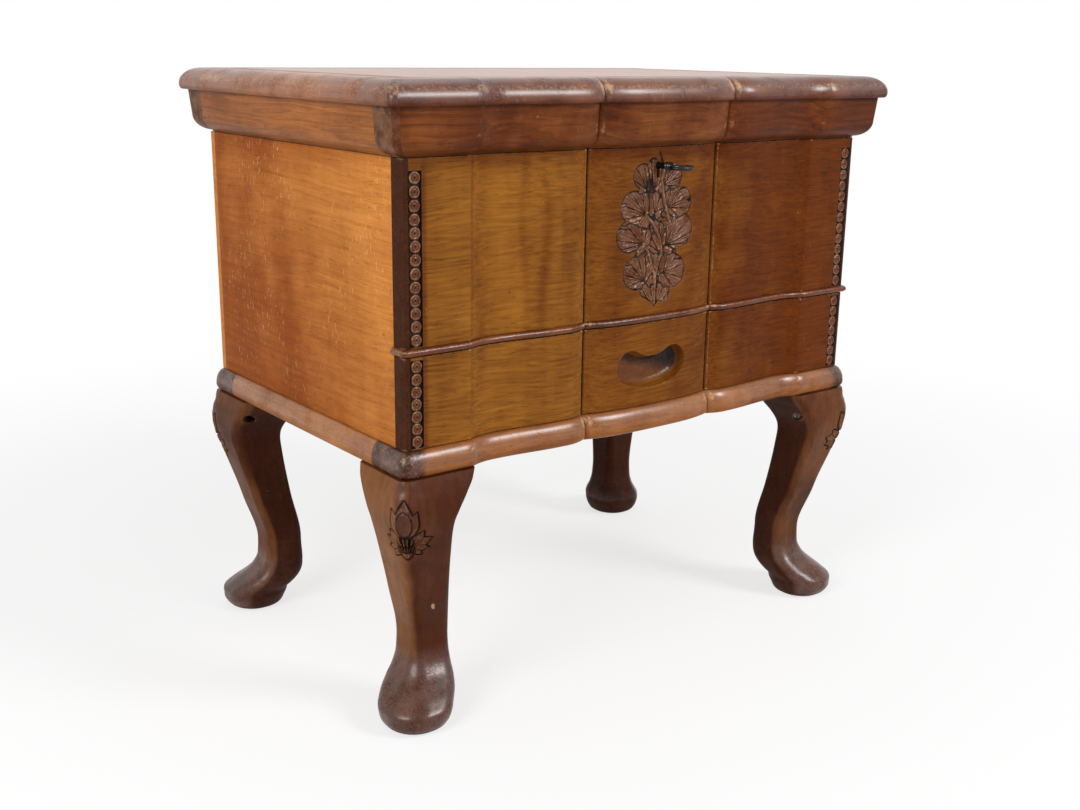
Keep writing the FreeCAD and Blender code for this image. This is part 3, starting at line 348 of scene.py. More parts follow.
def new_group(name: str, inputs: dict[str, object], outputs: dict[str, type]) -> tuple[Nodes, dict, dict]:
    """An empty shader node group with named inputs and outputs.

    Args:
        name: the group's name.
        inputs: name to default: a number, a colour, or None for a vector.
        outputs: name to float for a number or tuple for a colour.

    Returns:
        The group's nodes, its input sockets by name and its output sockets by name.
    """
    tree = bpy.data.node_groups.new(name, "ShaderNodeTree")
    for word, default in inputs.items():
        socket = tree.interface.new_socket(word, in_out="INPUT", socket_type=SOCKETS[type(default)])
        if default is not None:
            socket.default_value = default
    for word, kind in outputs.items():
        tree.interface.new_socket(word, in_out="OUTPUT", socket_type=SOCKETS[kind])
    nodes = Nodes(tree)
    source, sink = nodes.add("NodeGroupInput"), nodes.add("NodeGroupOutput")
    return nodes, {w: source.outputs[w] for w in inputs}, {w: sink.inputs[w] for w in outputs}


def new_material(name: str) -> tuple[bpy.types.Material, Nodes]:
    """An empty node material and its nodes.

    Args:
        name: the material's name.

    Returns:
        The material and its nodes.
    """
    material = bpy.data.materials.new(name)
    material.use_nodes = True
    material.node_tree.nodes.clear()
    return material, Nodes(material.node_tree)


def grain_group() -> None:
    """Wood with its grain along the pattern's X: growth bands, fibres, pores and cross figure.

    Bands are slices through noise that is long along the grain, fibres are much finer noise,
    pores are the rare high spots of fibre noise, and the figure is noise that is long across
    the grain, as wood shows where it was cut near a wavy trunk or a knot. The tone is the sum
    of each pattern's distance from its middle times its strength.
    """
    n, i, o = new_group(
        "Wood grain",
        {"Vector": None, "Light": (0.4, 0.2, 0.1, 1), "Dark": (0.2, 0.1, 0.05, 1),
         "Deep": (0.08, 0.04, 0.02, 1), "Bands": 0.5, "Fibre": 0.5, "Figure": 0.3, "Pores": 0.4,
         "Band scale": 1.0},
        {"Color": tuple, "Height": float},
    )
    stretched = n.vector("MULTIPLY", i["Vector"], (5, 9, 9))
    warp = n.add("ShaderNodeTexNoise", {"Vector": stretched, "Scale": 1.0, "Detail": 2.0}).outputs["Color"]
    bent = n.vector("SCALE", n.vector("SUBTRACT", warp, (0.5, 0.5, 0.5)), 0.02)
    place = n.vector("ADD", i["Vector"], bent)
    scaled = n.vector("SCALE", place, i["Band scale"])
    saw = n.math("FRACT", n.times(n.long_noise(scaled, (2.6, 38.0, 38.0), 2.0, 0.45), 9.0), 0.0)
    fibre = n.long_noise(place, (30.0, 900.0, 900.0), 4.0, 0.6)
    patterns = (
        (n.times(n.ramp(saw, 0.15, 0.95), n.minus(1.0, n.ramp(saw, 0.93, 1.0))), 0.4, "Bands", 0.6),
        (n.long_noise(scaled, (3.0, 16.0, 16.0), 2.0), 0.5, "Bands", 1.5),
        (fibre, 0.5, "Fibre", 1.3),
        (n.long_noise(scaled, (10.0, 230.0, 230.0), 3.0, 0.6), 0.5, "Fibre", 1.6),
        (n.long_noise(place, (30.0, 4.0, 4.0), 3.0, 0.6), 0.5, "Figure", 2.4),
        (n.long_noise(place, (60.0, 60.0, 60.0), 3.0, 0.6), 0.5, "Figure", 0.9),
    )
    tone = 0.0
    for pattern, middle, word, strength in patterns:
        tone = n.plus(tone, n.about(pattern, middle, n.times(i[word], strength)))
    base = n.mix(n.plus(tone, 0.42, True), i["Light"], i["Dark"])
    pores = n.ramp(n.long_noise(place, (110.0, 1500.0, 1500.0), 1.0), 0.63, 0.74)
    pores = n.times(pores, i["Pores"])
    n.put(o["Color"], n.mix(pores, base, i["Deep"]))
    n.put(o["Height"], n.minus(n.times(fibre, 0.5), n.times(pores, 0.7)))


def age_group() -> None:
    """Use and age over a finish.

    Rubbing and painted highlights, dirt and painted shade, and stain and painted shade come in
    as numbers per vertex with end grain, and are broken up by noise. Stain and painted shade
    multiply the wood's colour, dirt and painted shade darken it towards one colour, and rubbing
    and painted highlights lighten it towards a pale one; end grain is dull and speckled, dents
    are the rare cells of a cell pattern, flecks are the high spots of noise that is long
    upwards, and patches are broad noise.
    """
    n, i, o = new_group(
        "Age",
        {"Vector": None, "Color": (0.4, 0.2, 0.1, 1), "Worn": (0.5, 0.3, 0.2, 1),
         "Grime colour": (0.02, 0.01, 0.01, 1), "Stain colour": (0.5, 0.4, 0.3, 1),
         "End colour": (0.12, 0.08, 0.05, 1), "Wear": 0.0, "Grime": 0.0, "Stain": 0.0, "End": 0.0,
         "Dents": 0.3, "Flecks": 0.0, "Patches": 0.3, "Polish": 0.35},
        {"Color": tuple, "Roughness": float, "Height": float},
    )
    fine = n.noise(i["Vector"], 420.0, 4.0, 0.7)
    broad = n.noise(i["Vector"], 24.0)
    middle = n.noise(i["Vector"], 110.0, 3.0, 0.6)
    worn = n.ramp(n.plus(i["Wear"], n.about(fine, 0.5, 0.9)), 0.35, 0.85)
    dirt_and_shade = n.ramp(n.plus(i["Grime"], n.about(fine, 0.5, 0.5)), 0.2, 0.8)
    cells = n.add("ShaderNodeTexVoronoi", {"Vector": i["Vector"], "Scale": 150.0, "Randomness": 1.0}).outputs
    chance = n.add("ShaderNodeSeparateColor", {0: cells["Color"]}).outputs[0]
    dent = n.times(n.minus(1.0, n.ramp(cells["Distance"], 0.05, 0.16)), n.math("GREATER_THAN", chance, 0.94))
    dent = n.times(dent, i["Dents"])
    fleck = n.ramp(n.long_noise(i["Vector"], (560.0, 560.0, 210.0), 1.0), 0.62, 0.72)
    fleck = n.times(fleck, n.ramp(n.long_noise(i["Vector"], (26.0, 26.0, 14.0), 2.0), 0.46, 0.62))
    fleck = n.times(fleck, i["Flecks"])
    patch = n.times(n.ramp(broad, 0.35, 0.7), i["Patches"])
    cloudy = n.plus(i["Stain"], n.about(broad, 0.5, n.times(i["Stain"], 0.7)))
    tint = n.mix(1.0, i["Color"], i["Stain colour"], "MULTIPLY")
    tinted_end = n.mix(1.0, i["End colour"], i["Stain colour"], "MULTIPLY")
    shaded = n.mix(n.plus(cloudy, n.times(patch, 0.5), True), i["Color"], tint)
    speckle = n.mix(n.ramp(middle, 0.38, 0.66), i["End colour"], tinted_end)
    speckle = n.mix(n.times(n.ramp(fine, 0.55, 0.75), 0.35), speckle, i["Worn"])
    shaded = n.mix(i["End"], shaded, speckle)
    for mask, strength in ((dent, 0.7), (fleck, 0.6), (worn, 0.75)):
        shaded = n.mix(n.times(mask, strength), shaded, i["Worn"])
    # Dirt and painted shade darken the colour last.
    n.put(o["Color"], n.mix(dirt_and_shade, shaded, i["Grime colour"]))
    rough = n.plus(i["Polish"], n.about(middle, 0.45, 0.22))
    n.put(o["Roughness"], n.plus(rough, n.times(n.plus(dirt_and_shade, n.times(patch, 0.3)), 0.2), True))
    n.put(o["Height"], n.minus(n.times(fine, 0.2), n.plus(dent, n.times(fleck, 0.3))))


@dataclass(frozen=True)
class WoodFinish:
    """A stained and waxed wood: its colours, how strong each mark is, and its gloss."""

    name: str
    slot: str
    light: Colour
    dark: Colour
    deep: Colour
    # The pale colour is rubbing and painted highlight; the grime colour is where dirt and painted shade
    # darken to; stain and painted shade multiply by the stain colour.
    worn: Colour
    grime: Colour = (30, 15, 9)
    stain: Colour = (176, 158, 136)
    end: Colour = (118, 84, 62)
    bands: float = 0.5
    fibre: float = 0.5
    figure: float = 0.3
    pores: float = 0.4
    band_scale: float = 1.0
    dents: float = 0.3
    flecks: float = 0.0
    patches: float = 0.3
    polish: float = 0.42
    shine: float = 0.2
    coat: float = 1.7
    coat_rough: float = 0.24
    bump: float = 0.25
    tilt: float = 0.0

    @lru_cache(maxsize=None)
    def material(self, grain: Grain, shift: Triple = (0, 0, 0)) -> bpy.types.Material:
        """Build the finish for one way of the grain.

        Args:
            grain: the way the board's grain runs.
            shift: moves the pattern, so that each board is cut from its own place.

        Returns:
            The material, shared by boards that ask for the same.
        """
        name = "%s %s %s" % (self.name, grain.name.lower(), "-".join("%g" % v for v in shift))
        material, n = new_material(name)
        place = n.place()
        turn = (grain.value[0], grain.value[1] + self.tilt, grain.value[2])
        mapped = n.add("ShaderNodeMapping", {"Vector": place, "Location": shift, "Rotation": turn}).outputs[0]
        wood = n.group("Wood grain", {
            "Vector": mapped, "Light": linear(*self.light), "Dark": linear(*self.dark),
            "Deep": linear(*self.deep), "Bands": self.bands, "Fibre": self.fibre, "Figure": self.figure,
            "Pores": self.pores, "Band scale": self.band_scale,
        })
        age = n.group("Age", {
            "Vector": place, "Color": wood.outputs["Color"], "Worn": linear(*self.worn),
            "Grime colour": linear(*self.grime), "Stain colour": linear(*self.stain),
            "End colour": linear(*self.end), "Dents": self.dents, "Flecks": self.flecks,
            "Patches": self.patches, "Polish": self.polish,
            **{word.capitalize(): n.mark(word) for word in MARKS[:4]},
        })
        height = n.plus(wood.outputs["Height"], age.outputs["Height"])
        bump = n.add("ShaderNodeBump", {"Height": height, "Strength": self.bump, "Distance": 0.0004})
        pebble = n.ramp(n.noise(place, 900.0, 2.0), 0.3, 0.7)
        cloud = n.ramp(n.noise(place, 60.0), 0.25, 0.75)
        coat = n.times(n.plus(n.times(pebble, 0.45), n.times(cloud, 0.55)), self.coat)
        shader = n.add("ShaderNodeBsdfPrincipled", {
            "Base Color": age.outputs["Color"], "Roughness": age.outputs["Roughness"],
            "Normal": bump.outputs[0], "Specular IOR Level": self.shine,
            "Coat Weight": n.times(coat, n.mark("gloss"), True), "Coat Roughness": self.coat_rough,
        })
        n.add("ShaderNodeOutputMaterial", {0: shader.outputs[0]})
        return material


@dataclass(frozen=True)
class MetalFinish:
    """A dull or polished metal with stains and fine scratches."""

    name: str
    slot: str
    base: Colour
    # The colour of the metal's own stains; no painted shade is in it.
    stain: Colour
    metallic: float = 1.0
    polish: float = 0.35
    stains: float = 0.5

    @lru_cache(maxsize=None)
    def material(self) -> bpy.types.Material:
        """Build the finish.

        Returns:
            The material, shared by all parts of this metal.
        """
        material, n = new_material(self.name)
        place = n.place()
        broad = n.ramp(n.noise(place, 160.0, 4.0, 0.65), 0.4, 0.7)
        fine = n.long_noise(place, (300.0, 1600.0, 1600.0))
        colour = n.mix(n.times(broad, self.stains), linear(*self.base), linear(*self.stain))
        rough = n.plus(n.times(broad, 0.25), n.times(fine, 0.15))
        bump = n.add("ShaderNodeBump", {"Height": fine, "Strength": 0.15, "Distance": 0.0002})
        shader = n.add("ShaderNodeBsdfPrincipled", {
            "Base Color": colour, "Roughness": n.plus(rough, self.polish - 0.1, True),
            "Metallic": self.metallic, "Normal": bump.outputs[0],
        })
        n.add("ShaderNodeOutputMaterial", {0: shader.outputs[0]})
        return material


FRONT = WoodFinish(
    "Front boards", "carved_front", (150, 95, 30), (98, 55, 14), (50, 26, 8), (198, 154, 116),
    stain=(172, 134, 92), end=(112, 78, 62), bands=0.34, fibre=0.75, figure=0.4, pores=0.5,
    band_scale=2.2, polish=0.48, dents=0.2, patches=0.4, shine=0.07, tilt=0.02,
)
PANEL = WoodFinish(
    "Side panels", "case_wood", (218, 144, 70), (162, 94, 36), (104, 56, 22), (232, 186, 132),
    stain=(184, 150, 110), bands=0.24, fibre=0.6, figure=0.28, pores=0.55, polish=0.5, dents=0.5,
    flecks=0.5, shine=0.06, tilt=0.05,
)
MOULDING = WoodFinish(
    "Mouldings", "moulding_wood", (172, 104, 48), (104, 58, 24), (48, 24, 12), (200, 154, 112),
    stain=(150, 120, 96), end=(104, 72, 52), fibre=0.6, figure=0.25, pores=0.5, band_scale=1.5,
    polish=0.40, coat_rough=0.26, patches=0.4, flecks=0.1, shine=0.08,
)
RIM = WoodFinish(
    "Lid rim", "moulding_wood", (164, 100, 54), (104, 58, 28), (44, 22, 12), (204, 164, 128),
    stain=(150, 112, 84), end=(92, 66, 52), bands=0.35, fibre=0.45, figure=0.35, band_scale=1.5,
    polish=0.40, coat_rough=0.33, coat=2.8, patches=0.4, flecks=0.3, shine=0.08,
)
BASE = WoodFinish(
    "Base mouldings", "moulding_wood", (178, 112, 52), (116, 66, 26), (58, 30, 13), (214, 172, 122),
    stain=(150, 116, 90), end=(84, 52, 40), bands=0.4, fibre=0.55, pores=0.5, band_scale=1.3,
    polish=0.40, coat_rough=0.30, coat=2.8, patches=0.4, flecks=0.15, shine=0.08,
)
LEG = WoodFinish(
    "Legs", "leg_wood", (140, 90, 50), (88, 52, 27), (42, 22, 12), (190, 148, 108), grime=(28, 14, 9),
    stain=(150, 116, 92), end=(92, 58, 46), bands=0.3, fibre=0.45, pores=0.35, polish=0.44,
    coat_rough=0.32, patches=0.6, dents=0.2, shine=0.08,
)
PLAIN = WoodFinish(
    "Plain wood", "plain_wood", (204, 160, 108), (160, 116, 68), (112, 76, 44), (220, 184, 138),
    grime=(70, 44, 26), bands=0.4, figure=0.2, pores=0.5, polish=0.62, shine=0.3,
)
BRASS = MetalFinish("Aged brass", "hinge_brass", (176, 142, 78), (84, 62, 34), polish=0.36)
LOCK_BRASS = MetalFinish("Lock brass", "lock_brass", (170, 136, 74), (80, 58, 32), polish=0.38)
LOCK_IRON = MetalFinish("Dark iron", "lock_iron", (66, 60, 56), (44, 30, 22), metallic=0.9, polish=0.5)
KEY_IRON = MetalFinish(
    "Black iron", "key_iron", (20, 18, 18), (10, 9, 9), metallic=0.4, polish=0.24, stains=0.4,
)
STEEL = MetalFinish("Screw steel", "screw_steel", (140, 134, 126), (88, 72, 58), polish=0.34)


# The wavy line of the front


def bezier(*poles: tuple[float, float], count: int = 9) -> Array:
    """Points along one Bezier stretch, without its last one.

    A point at share t is the sum of each pole k of n times n over k, t ** k and
    (1 - t) ** (n - k).

    Args:
        poles: the stretch's two ends with the poles that pull it between them.
        count: number of points.

    Returns:
        Array of points.
    """
    t = np.linspace(0, 1, count, endpoint=False)[:, None]
    n = len(poles) - 1
    weights = np.hstack([math.comb(n, k) * t ** k * (1 - t) ** (n - k) for k in range(n + 1)])
    return weights @ np.array(poles, float)


@dataclass(frozen=True)
class FrontLine:
    """How far the front is set back from its corner flats, across the width.

    From the middle outwards: a belly, a sharp groove, a shoulder that comes forward to a bump,
    a cove, and a flat at the corner that starts at the arris.
    """

    corner_flat: float = 50.0
    cove_width: float = 20.0
    cove: float = 5.0
    bump_offset: float = 16.5
    bump: float = 0.5
    groove: float = 60.5
    groove_half: float = 1.2
    shoulder: float = 4.5
    groove_depth: float = 1.5
    rise: float = 1.5
    last_stop: float = 200.0

    @property
    def arris(self) -> float:
        """Distance from the middle to where the corner flat starts."""
        return SIZES.half_width - self.corner_flat

    def _table(self) -> Array:
        """Points of the line from the middle to the corner, along its Bezier stretches.

        Returns:
            Array with a row of distances from the middle and a row of set-backs.
        """
        g, shoulder, bump, cove = self.groove, self.shoulder, self.bump, self.cove
        inner, outer, crest = g - self.groove_half, g + self.groove_half, g + self.bump_offset
        arris, wide = self.arris, self.cove_width
        valley = arris - wide
        run, span = crest - outer, valley - crest
        rise, low = self.rise, shoulder + self.groove_depth
        stretches = [
            [(0, -rise), (0.5 * inner, -rise), (0.75 * inner, 0.15 * shoulder - 0.85 * rise),
             (inner, shoulder)],
            [(inner, shoulder), (inner, shoulder), (g, low), (g, low)],
            [(g, low), (g, low), (outer, shoulder), (outer, shoulder)],
            [(outer, shoulder), (outer + 0.3 * run, 0.4 * shoulder + 0.6 * bump), (outer + 0.6 * run, bump),
             (crest, bump)],
            [(crest, bump), (crest + 0.4 * span, bump), (valley - 0.4 * span, cove), (valley, cove)],
            [(valley, cove), (valley + 0.4 * wide, cove), (arris - 0.25 * wide, 0.55 * cove), (arris, 0)],
        ]
        return np.vstack([*(bezier(*poles, count=32) for poles in stretches), [(arris, 0)]]).T

    def at(self, x: Array) -> Array:
        """Set-back at each x, by reading the line's table at the distance from the middle."""
        return np.interp(np.abs(x), *self._table())

    def stops(self) -> Array:
        """Positions across the front, closer together where the line bends.

        Returns:
            Sorted positions from the left to the right.
        """
        g, h = self.groove, self.groove_half
        half = spread((0, 4), (36, 2), (g - h, 0.6), (g, 0.6), (g + h, 1.2), (77, 2), (96, 2), (130, 1.2),
                      (self.arris, 5), (self.last_stop, 5))
        return np.concatenate([-half[::-1], half[1:]])


LINE = FrontLine()


# Mouldings


# The share of a radius at which the poles of a Bezier stretch make it a quarter round.
ROUND = 0.552


def nose(out: float, low: float, run: float, drop: float, count: int) -> Array:
    """Quarter ellipse from the widest point up and in.

    Args:
        out, low: how far the widest point stands out, and its height.
        run, drop: width and height of the quarter.
        count: number of points before its end.

    Returns:
        Section points from the widest point to the end.
    """
    end = (out - run, low + drop)
    bend = (out, low + ROUND * drop), (end[0] + ROUND * run, end[1])
    return np.vstack([bezier((out, low), *bend, end, count=count), end])


def tucked_nose(
    low: float, top: float, out: float, tuck: float, pull: float, run: float, drop: float,
    counts: tuple[int, int],
) -> Array:
    """Section that is tucked under, swells to its widest and rounds over to a flat top.

    Args:
        low, top: heights of its bottom and top.
        out: how far the widest point stands out.
        tuck: how much less the bottom stands out.
        pull: height of the lower curve's first pole as a share of the widest point's.
        run, drop: width and height of the rounding over.
        counts: points on the lower curve and on the rounding.

    Returns:
        Section points from the bottom to the top.
    """
    wide = top - drop
    under = bezier((out - tuck, low), (out - 0.3 * tuck, low + pull * (wide - low)),
                   (out, low + 0.5 * (wide - low)), (out, wide), count=counts[0])
    return np.vstack([under, nose(out, wide, run, drop, counts[1])])


def ovolo(low: float, top: float, out: float) -> Array:
    """Section that rounds out from a small step to a slightly sloped face.

    Args:
        low, top: heights of its bottom and top.
        out: how far it stands out at the top.

    Returns:
        Section points from the bottom to the top.
    """
    belly, step, wide = out - 1.6, low + 1.0, low + 12.5
    turn = wide - ROUND * (wide - step)
    curve = bezier((0, step), (ROUND * belly, step), (belly, turn), (belly, wide), count=16)
    return np.vstack([[(0, low)], curve, [(belly, wide), (belly + 0.8, wide + 9.0), (out, top)]])


def half_round(low: float, top: float, out: float) -> Array:
    """Half-round section.

    Args:
        low, top: heights of its bottom and top.
        out: how far it stands out.

    Returns:
        Section points from the bottom to the top.
    """
    middle, half = (low + top) / 2, (top - low) / 2
    under = bezier((0, low), (ROUND * out, low), (out, middle - ROUND * half), (out, middle), count=7)
    return np.vstack([under, nose(out, middle, out, half, 7)])


def solid_strip(grid: Array) -> list[Sequence[int]]:
    """Faces of a solid made of rows: its skin, the strip between the last and the first row, its ends.

    Args:
        grid: its points, row by row.

    Returns:
        The faces.
    """
    rows, columns = grid.shape[:2]
    j, last, ends = np.arange(columns - 1), (rows - 1) * columns, np.arange(rows) * columns
    strip = np.stack([j, j + 1, last + j + 1, last + j], -1)
    return [*grid_faces(rows, columns), *strip, ends, (ends + columns - 1)[::-1]]


@dataclass
class Moulding:
    """One run of moulding round the lid or the base.

    Its section is a list of points, each how far it stands out of the case and its height,
    from the bottom to the top. The outer face of a front board at section point (p, z) and
    place x is (x, front + line(x) - p, z); its ends turn the corner with a small radius and
    run back to the joint as (side * (half width + p), y, z), where their end grain shows.
    Rubbing and gloss have a value for each section point; on the rim the rubbing is partly a
    painted highlight. The node is the CAD node's name with a gap for its side. With a lap, a
    panel is let in over the top by that much.
    """

    name: str
    node: str
    body: Body
    finish: WoodFinish
    section: Array
    wear: Array
    gloss: Array
    front_joint: float
    back_joint: float = 0.0
    side_inner: float = 0.0
    round: float = 5.0
    corner_wear: float = 0.1
    end: float = 1.0
    # Painted shade over the long front face, as a share of the stain colour's darkening.
    shade: float = 0.3
    block: float = 0.0
    lap: float = 0.0
    sunk: float = 8.0
    return_columns: int = 9
    corner_columns: int = 7
    straight_columns: int = 31

    def _marks(self, xs: Array, turned: Array, returned: Array) -> Marks:
        """Marks over a face, one row per section point, with painted shade on its rounded corners
        and along its long face.

        Args:
            xs: x of each point.
            turned: 1 on the rounded corners, per column.
            returned: 1 on the stretches that run back along the sides, per column.

        Returns:
            The marks.
        """
        level, shine = (np.broadcast_to(v[:, None], xs.shape) for v in (self.wear, self.gloss))
        long_face = (1 - turned) * (1 - returned)
        near = smoothstep(-1.0, 1.0, np.abs(xs) - SIZES.half_width + self.block) * (1 - returned)
        near = near * (self.block > 0)
        wear = level + self._crease_wear(xs) * long_face + self.corner_wear * turned
        end = self.end * np.clip(returned + 0.6 * turned + near, 0.0, 1.0)
        # Painted shade on the rounded corners and along the long face, darker towards the right; the block's
        # end grain is its own colour.
        stain = np.maximum(0.95 * turned + 0.3 * returned, 0.8 * near)
        stain = np.maximum(stain, (self.shade + 0.2 * smoothstep(0.0, 230.0, xs)) * long_face)
        return Marks(*np.broadcast_arrays(wear, 0.2 * turned, stain, end, shine * (1 - 0.5 * end)))

    @staticmethod
    def _crease_wear(x: Array) -> Array:
        """Rubbing along the arrises of the grooves and of the corner flats."""
        grooves = peak(np.abs(x) - LINE.groove - 3.0, 2.2) + peak(np.abs(x) - LINE.groove + 3.0, 2.2)
        return 0.30 * grooves + 0.16 * peak(np.abs(x) - LINE.arris, 2.5)

    def front_board(self) -> None:
        """Build the front board: both returns, both corners and the wavy front."""
        p, x = self.section[:, :1], LINE.stops()[None, :]
        beyond = (np.abs(x) - LINE.arris) / (LINE.last_stop - LINE.arris)
        edge = SIZES.half_width + p - self.round
        x = np.where(beyond > 0, np.sign(x) * (LINE.arris + beyond * (edge - LINE.arris)), x)
        y = SIZES.front + LINE.at(x) - p
        self._round_corners(x, y, SIZES.front - p, 1.0, self.front_joint, "front")

    def back_board(self) -> None:
        """Build the straight back board with both returns."""
        p = self.section[:, :1]
        x = np.linspace(-1, 1, self.straight_columns)[None, :] * (SIZES.half_width + p - self.round)
        y = np.broadcast_to(SIZES.back + p, x.shape)
        self._round_corners(x, y, SIZES.back + p, -1.0, self.back_joint, "back")

    def _round_corners(self, x: Array, y: Array, face: Array, way: float, joint: float, tail: str) -> None:
        """Add the quarter-round corners and the returns to a long face, and close it.

        A corner's points are (edge + r sin a, face + way (r - r cos a)) for a from 0 to 90
        degrees, and a return is straight from there to the joint.

        Args:
            x, y: the long face, one row per section point.
            face: y of the face at its ends, per row.
            way: 1 if the returns run towards the back, -1 if towards the front.
            joint: y where the returns end and the board meets its neighbours.
            tail: the board's side, for its name.
        """
        p, r = self.section[:, :1], self.round
        side, turn = self.return_columns, self.corner_columns
        angle = np.linspace(0, np.pi / 2, turn + 2)[1:-1][None, :]
        bx = SIZES.half_width + p - r + r * np.sin(angle)
        by = face + way * (r - r * np.cos(angle))
        sx = np.broadcast_to(SIZES.half_width + p, (len(p), side))
        sy = face + way * r + np.linspace(0, 1, side)[None, :] * (joint - face - way * r)
        xs = np.hstack([-sx[:, ::-1], -bx[:, ::-1], x, bx, sx])
        ys = np.hstack([sy[:, ::-1], by[:, ::-1], y, by, sy])
        zs = np.broadcast_to(self.section[:, 1:], xs.shape)
        place = np.minimum(np.arange(xs.shape[1]), np.arange(xs.shape[1])[::-1])
        marks = self._marks(xs, 1.0 * ((place >= side) & (place < side + turn)), 1.0 * (place < side))
        low, high = (np.stack([xs[row], np.full(xs.shape[1], joint), zs[row]], -1)[None] for row in (0, -1))
        if self.lap:
            high = self._rebate(xs[-1].copy(), ys[-1], float(zs[-1][0]), joint)
        grid = np.concatenate([low, np.stack([xs, ys, zs], -1), high])
        self._closed(tail, grid, marks, Grain.ACROSS, (0.0, 0.013, 0.4))

    def _rebate(self, x: Array, y: Array, top: float, joint: float) -> Array:
        """Rows over the top where a panel is let in: its edge, the foot of the step, the joint.

        The step ends at both sides where the panel does, between two columns set close together.

        Args:
            x, y: the face's highest row, whose x is changed.
            top: its height.
            joint: y of the straight edge where the board meets its neighbours.

        Returns:
            Three rows of points.
        """
        half = SIZES.half_width + self.side_inner + self.lap
        for end in (-half, half):
            x[np.sort(np.argsort(np.abs(x - end))[:2])] = end - 0.05, end + 0.05
        let_in = np.abs(x) < half
        way = np.sign(joint - y[len(y) // 2])
        line = way * np.maximum(way * y, way * joint - self.lap)
        foot = np.where(let_in, top - self.sunk, top)
        step = np.where(let_in, line, 0.5 * (line + joint))
        rows = ((line, top + 0 * x), (step, foot), (joint + 0 * x, foot))
        return np.stack([np.stack([x, along, height], -1) for along, height in rows])

    def side_board(self, side: Side) -> None:
        """A straight side board between the front and the back one.

        Args:
            side: which side it is on.
        """
        count = self.straight_columns
        y = np.linspace(self.front_joint, self.back_joint, count)[None, :]
        xs = side.value * np.broadcast_to(SIZES.half_width + self.section[:, :1], (len(self.section), count))
        ys, zs = np.broadcast_to(y, xs.shape), np.broadcast_to(self.section[:, 1:], xs.shape)
        inner = np.full(count, side.value * (SIZES.half_width + self.side_inner))
        low, high = (np.stack([inner, ys[row], zs[row]], -1)[None] for row in (0, -1))
        if self.lap:
            over, foot = (side.value * self.lap, 0.0, 0.0), high - (0.0, 0.0, self.sunk)
            high = np.concatenate([high + over, foot + over, foot])
        level, shine = (np.broadcast_to(v[:, None], xs.shape) for v in (self.wear, self.gloss))
        # Painted shade darkens the side boards towards the back, where less light falls.
        worn, stain = level + 0.22 * smoothstep(40.0, 150.0, ys), 0.45 * smoothstep(-60.0, 150.0, ys)
        marks = Marks(worn, 0 * level, stain, 0 * level, 0.7 * shine)
        grid = np.concatenate([low, np.stack([xs, ys, zs], -1), high])
        self._closed(side.name.lower(), grid, marks, Grain.DEEP, (0.2, 0.25 + 0.05 * side.value, 0.0))

    def _closed(self, tail: str, grid: Array, marks: Marks, grain: Grain, shift: Triple) -> None:
        """Make a board of its rows of points, the last of which close its top.

        Args:
            tail: the board's side, for its name and its CAD node's.
            grid: its rows from the flat bottom over the outer face to the joint above.
            marks: marks over the outer face; the other rows get none.
            grain: the way of its grain.
            shift: moves its pattern.
        """
        marks = marks.bordered(1, len(grid) - 1 - len(self.section))
        make_piece("%s_%s" % (self.name, tail), grid, solid_strip(grid), self.body,
                   self.finish.material(grain, shift), marks, [self.node.format(tail)])

    def build(self) -> None:
        """Build all four boards."""
        self.front_board()
        self.back_board()
        for side in Side:
            self.side_board(side)


# Carving on the front boards


# A distance beyond every edge, in millimetres.
FAR = 99.0


@dataclass(frozen=True)
class Lobe:
    """A pointed lobe of a carved leaf, from its root to its tip, with its widest part."""

    x: float
    z: float
    tip_x: float
    tip_z: float
    width: float

    def inside(self, x: Array, z: Array, swell: float) -> tuple[Array, Array]:
        """How far each point lies inside the lobe's edge, and how far across from its rib.

        Along the lobe t runs from 0 at the root to 1 at the tip, and the half-width there is
        swell * width / 2 * sin(pi * t ** 0.8): fullest before the middle, pointed at the tip.

        Args:
            x, z: the points.
            swell: how much wider the lobe is than it is given.

        Returns:
            Distance inside, below 0 outside, and distance across.
        """
        length = math.hypot(self.tip_x - self.x, self.tip_z - self.z)
        c, s = (self.tip_x - self.x) / length, (self.tip_z - self.z) / length
        along = (x - self.x) * c + (z - self.z) * s
        across = (z - self.z) * c - (x - self.x) * s
        half = 0.5 * swell * self.width * np.sin(np.pi * np.clip(along / length, 1e-4, 1.0) ** 0.8)
        beyond = -np.hypot(across, np.maximum(-along, along - length))
        return np.where((along > 0) & (along < length), half - np.abs(across), beyond), across


def leaf(x: float, z: float, *tips: Triple) -> tuple[Lobe, ...]:
    """Lobes from one root to each tip, a tip being its x, its z and the lobe's width."""
    return tuple(Lobe(x, z, *tip) for tip in tips)


def leaf_field(lobes: Sequence[Lobe], x: Array, z: Array, swell: float = 1.0) -> tuple[Array, Array, Array]:
    """How lobes share out a surface: each point belongs to the lobe that it is deepest inside.

    Args:
        lobes: all lobes.
        x, z: the points.
        swell: how much wider the lobes are than they are given.

    Returns:
        Distance inside the point's own lobe, how much further inside it is than any other
        lobe, which is 0 on the line between two, and distance across from its rib.
    """
    depth, across = (np.stack(part) for part in zip(*(lobe.inside(x, z, swell) for lobe in lobes)))
    first = depth.argmax(axis=0)[None]
    cover, across = (np.take_along_axis(part, first, 0)[0] for part in (depth, across))
    np.put_along_axis(depth, first, -FAR, 0)
    return cover, cover - depth.max(axis=0), across


def from_line(points: Sequence[tuple[float, float]], x: Array, z: Array) -> Array:
    """Distance from a line through points: the least of the distances from its stretches.

    Args:
        points: the line's corners.
        x, z: the points to measure.

    Returns:
        The distances.
    """
    result = np.full(x.shape, FAR)
    for (ax, az), (bx, bz) in zip(points[:-1], points[1:]):
        dx, dz = bx - ax, bz - az
        t = np.clip(((x - ax) * dx + (z - az) * dz) / (dx * dx + dz * dz), 0.0, 1.0)
        result = np.minimum(result, np.hypot(x - ax - t * dx, z - az - t * dz))
    return result


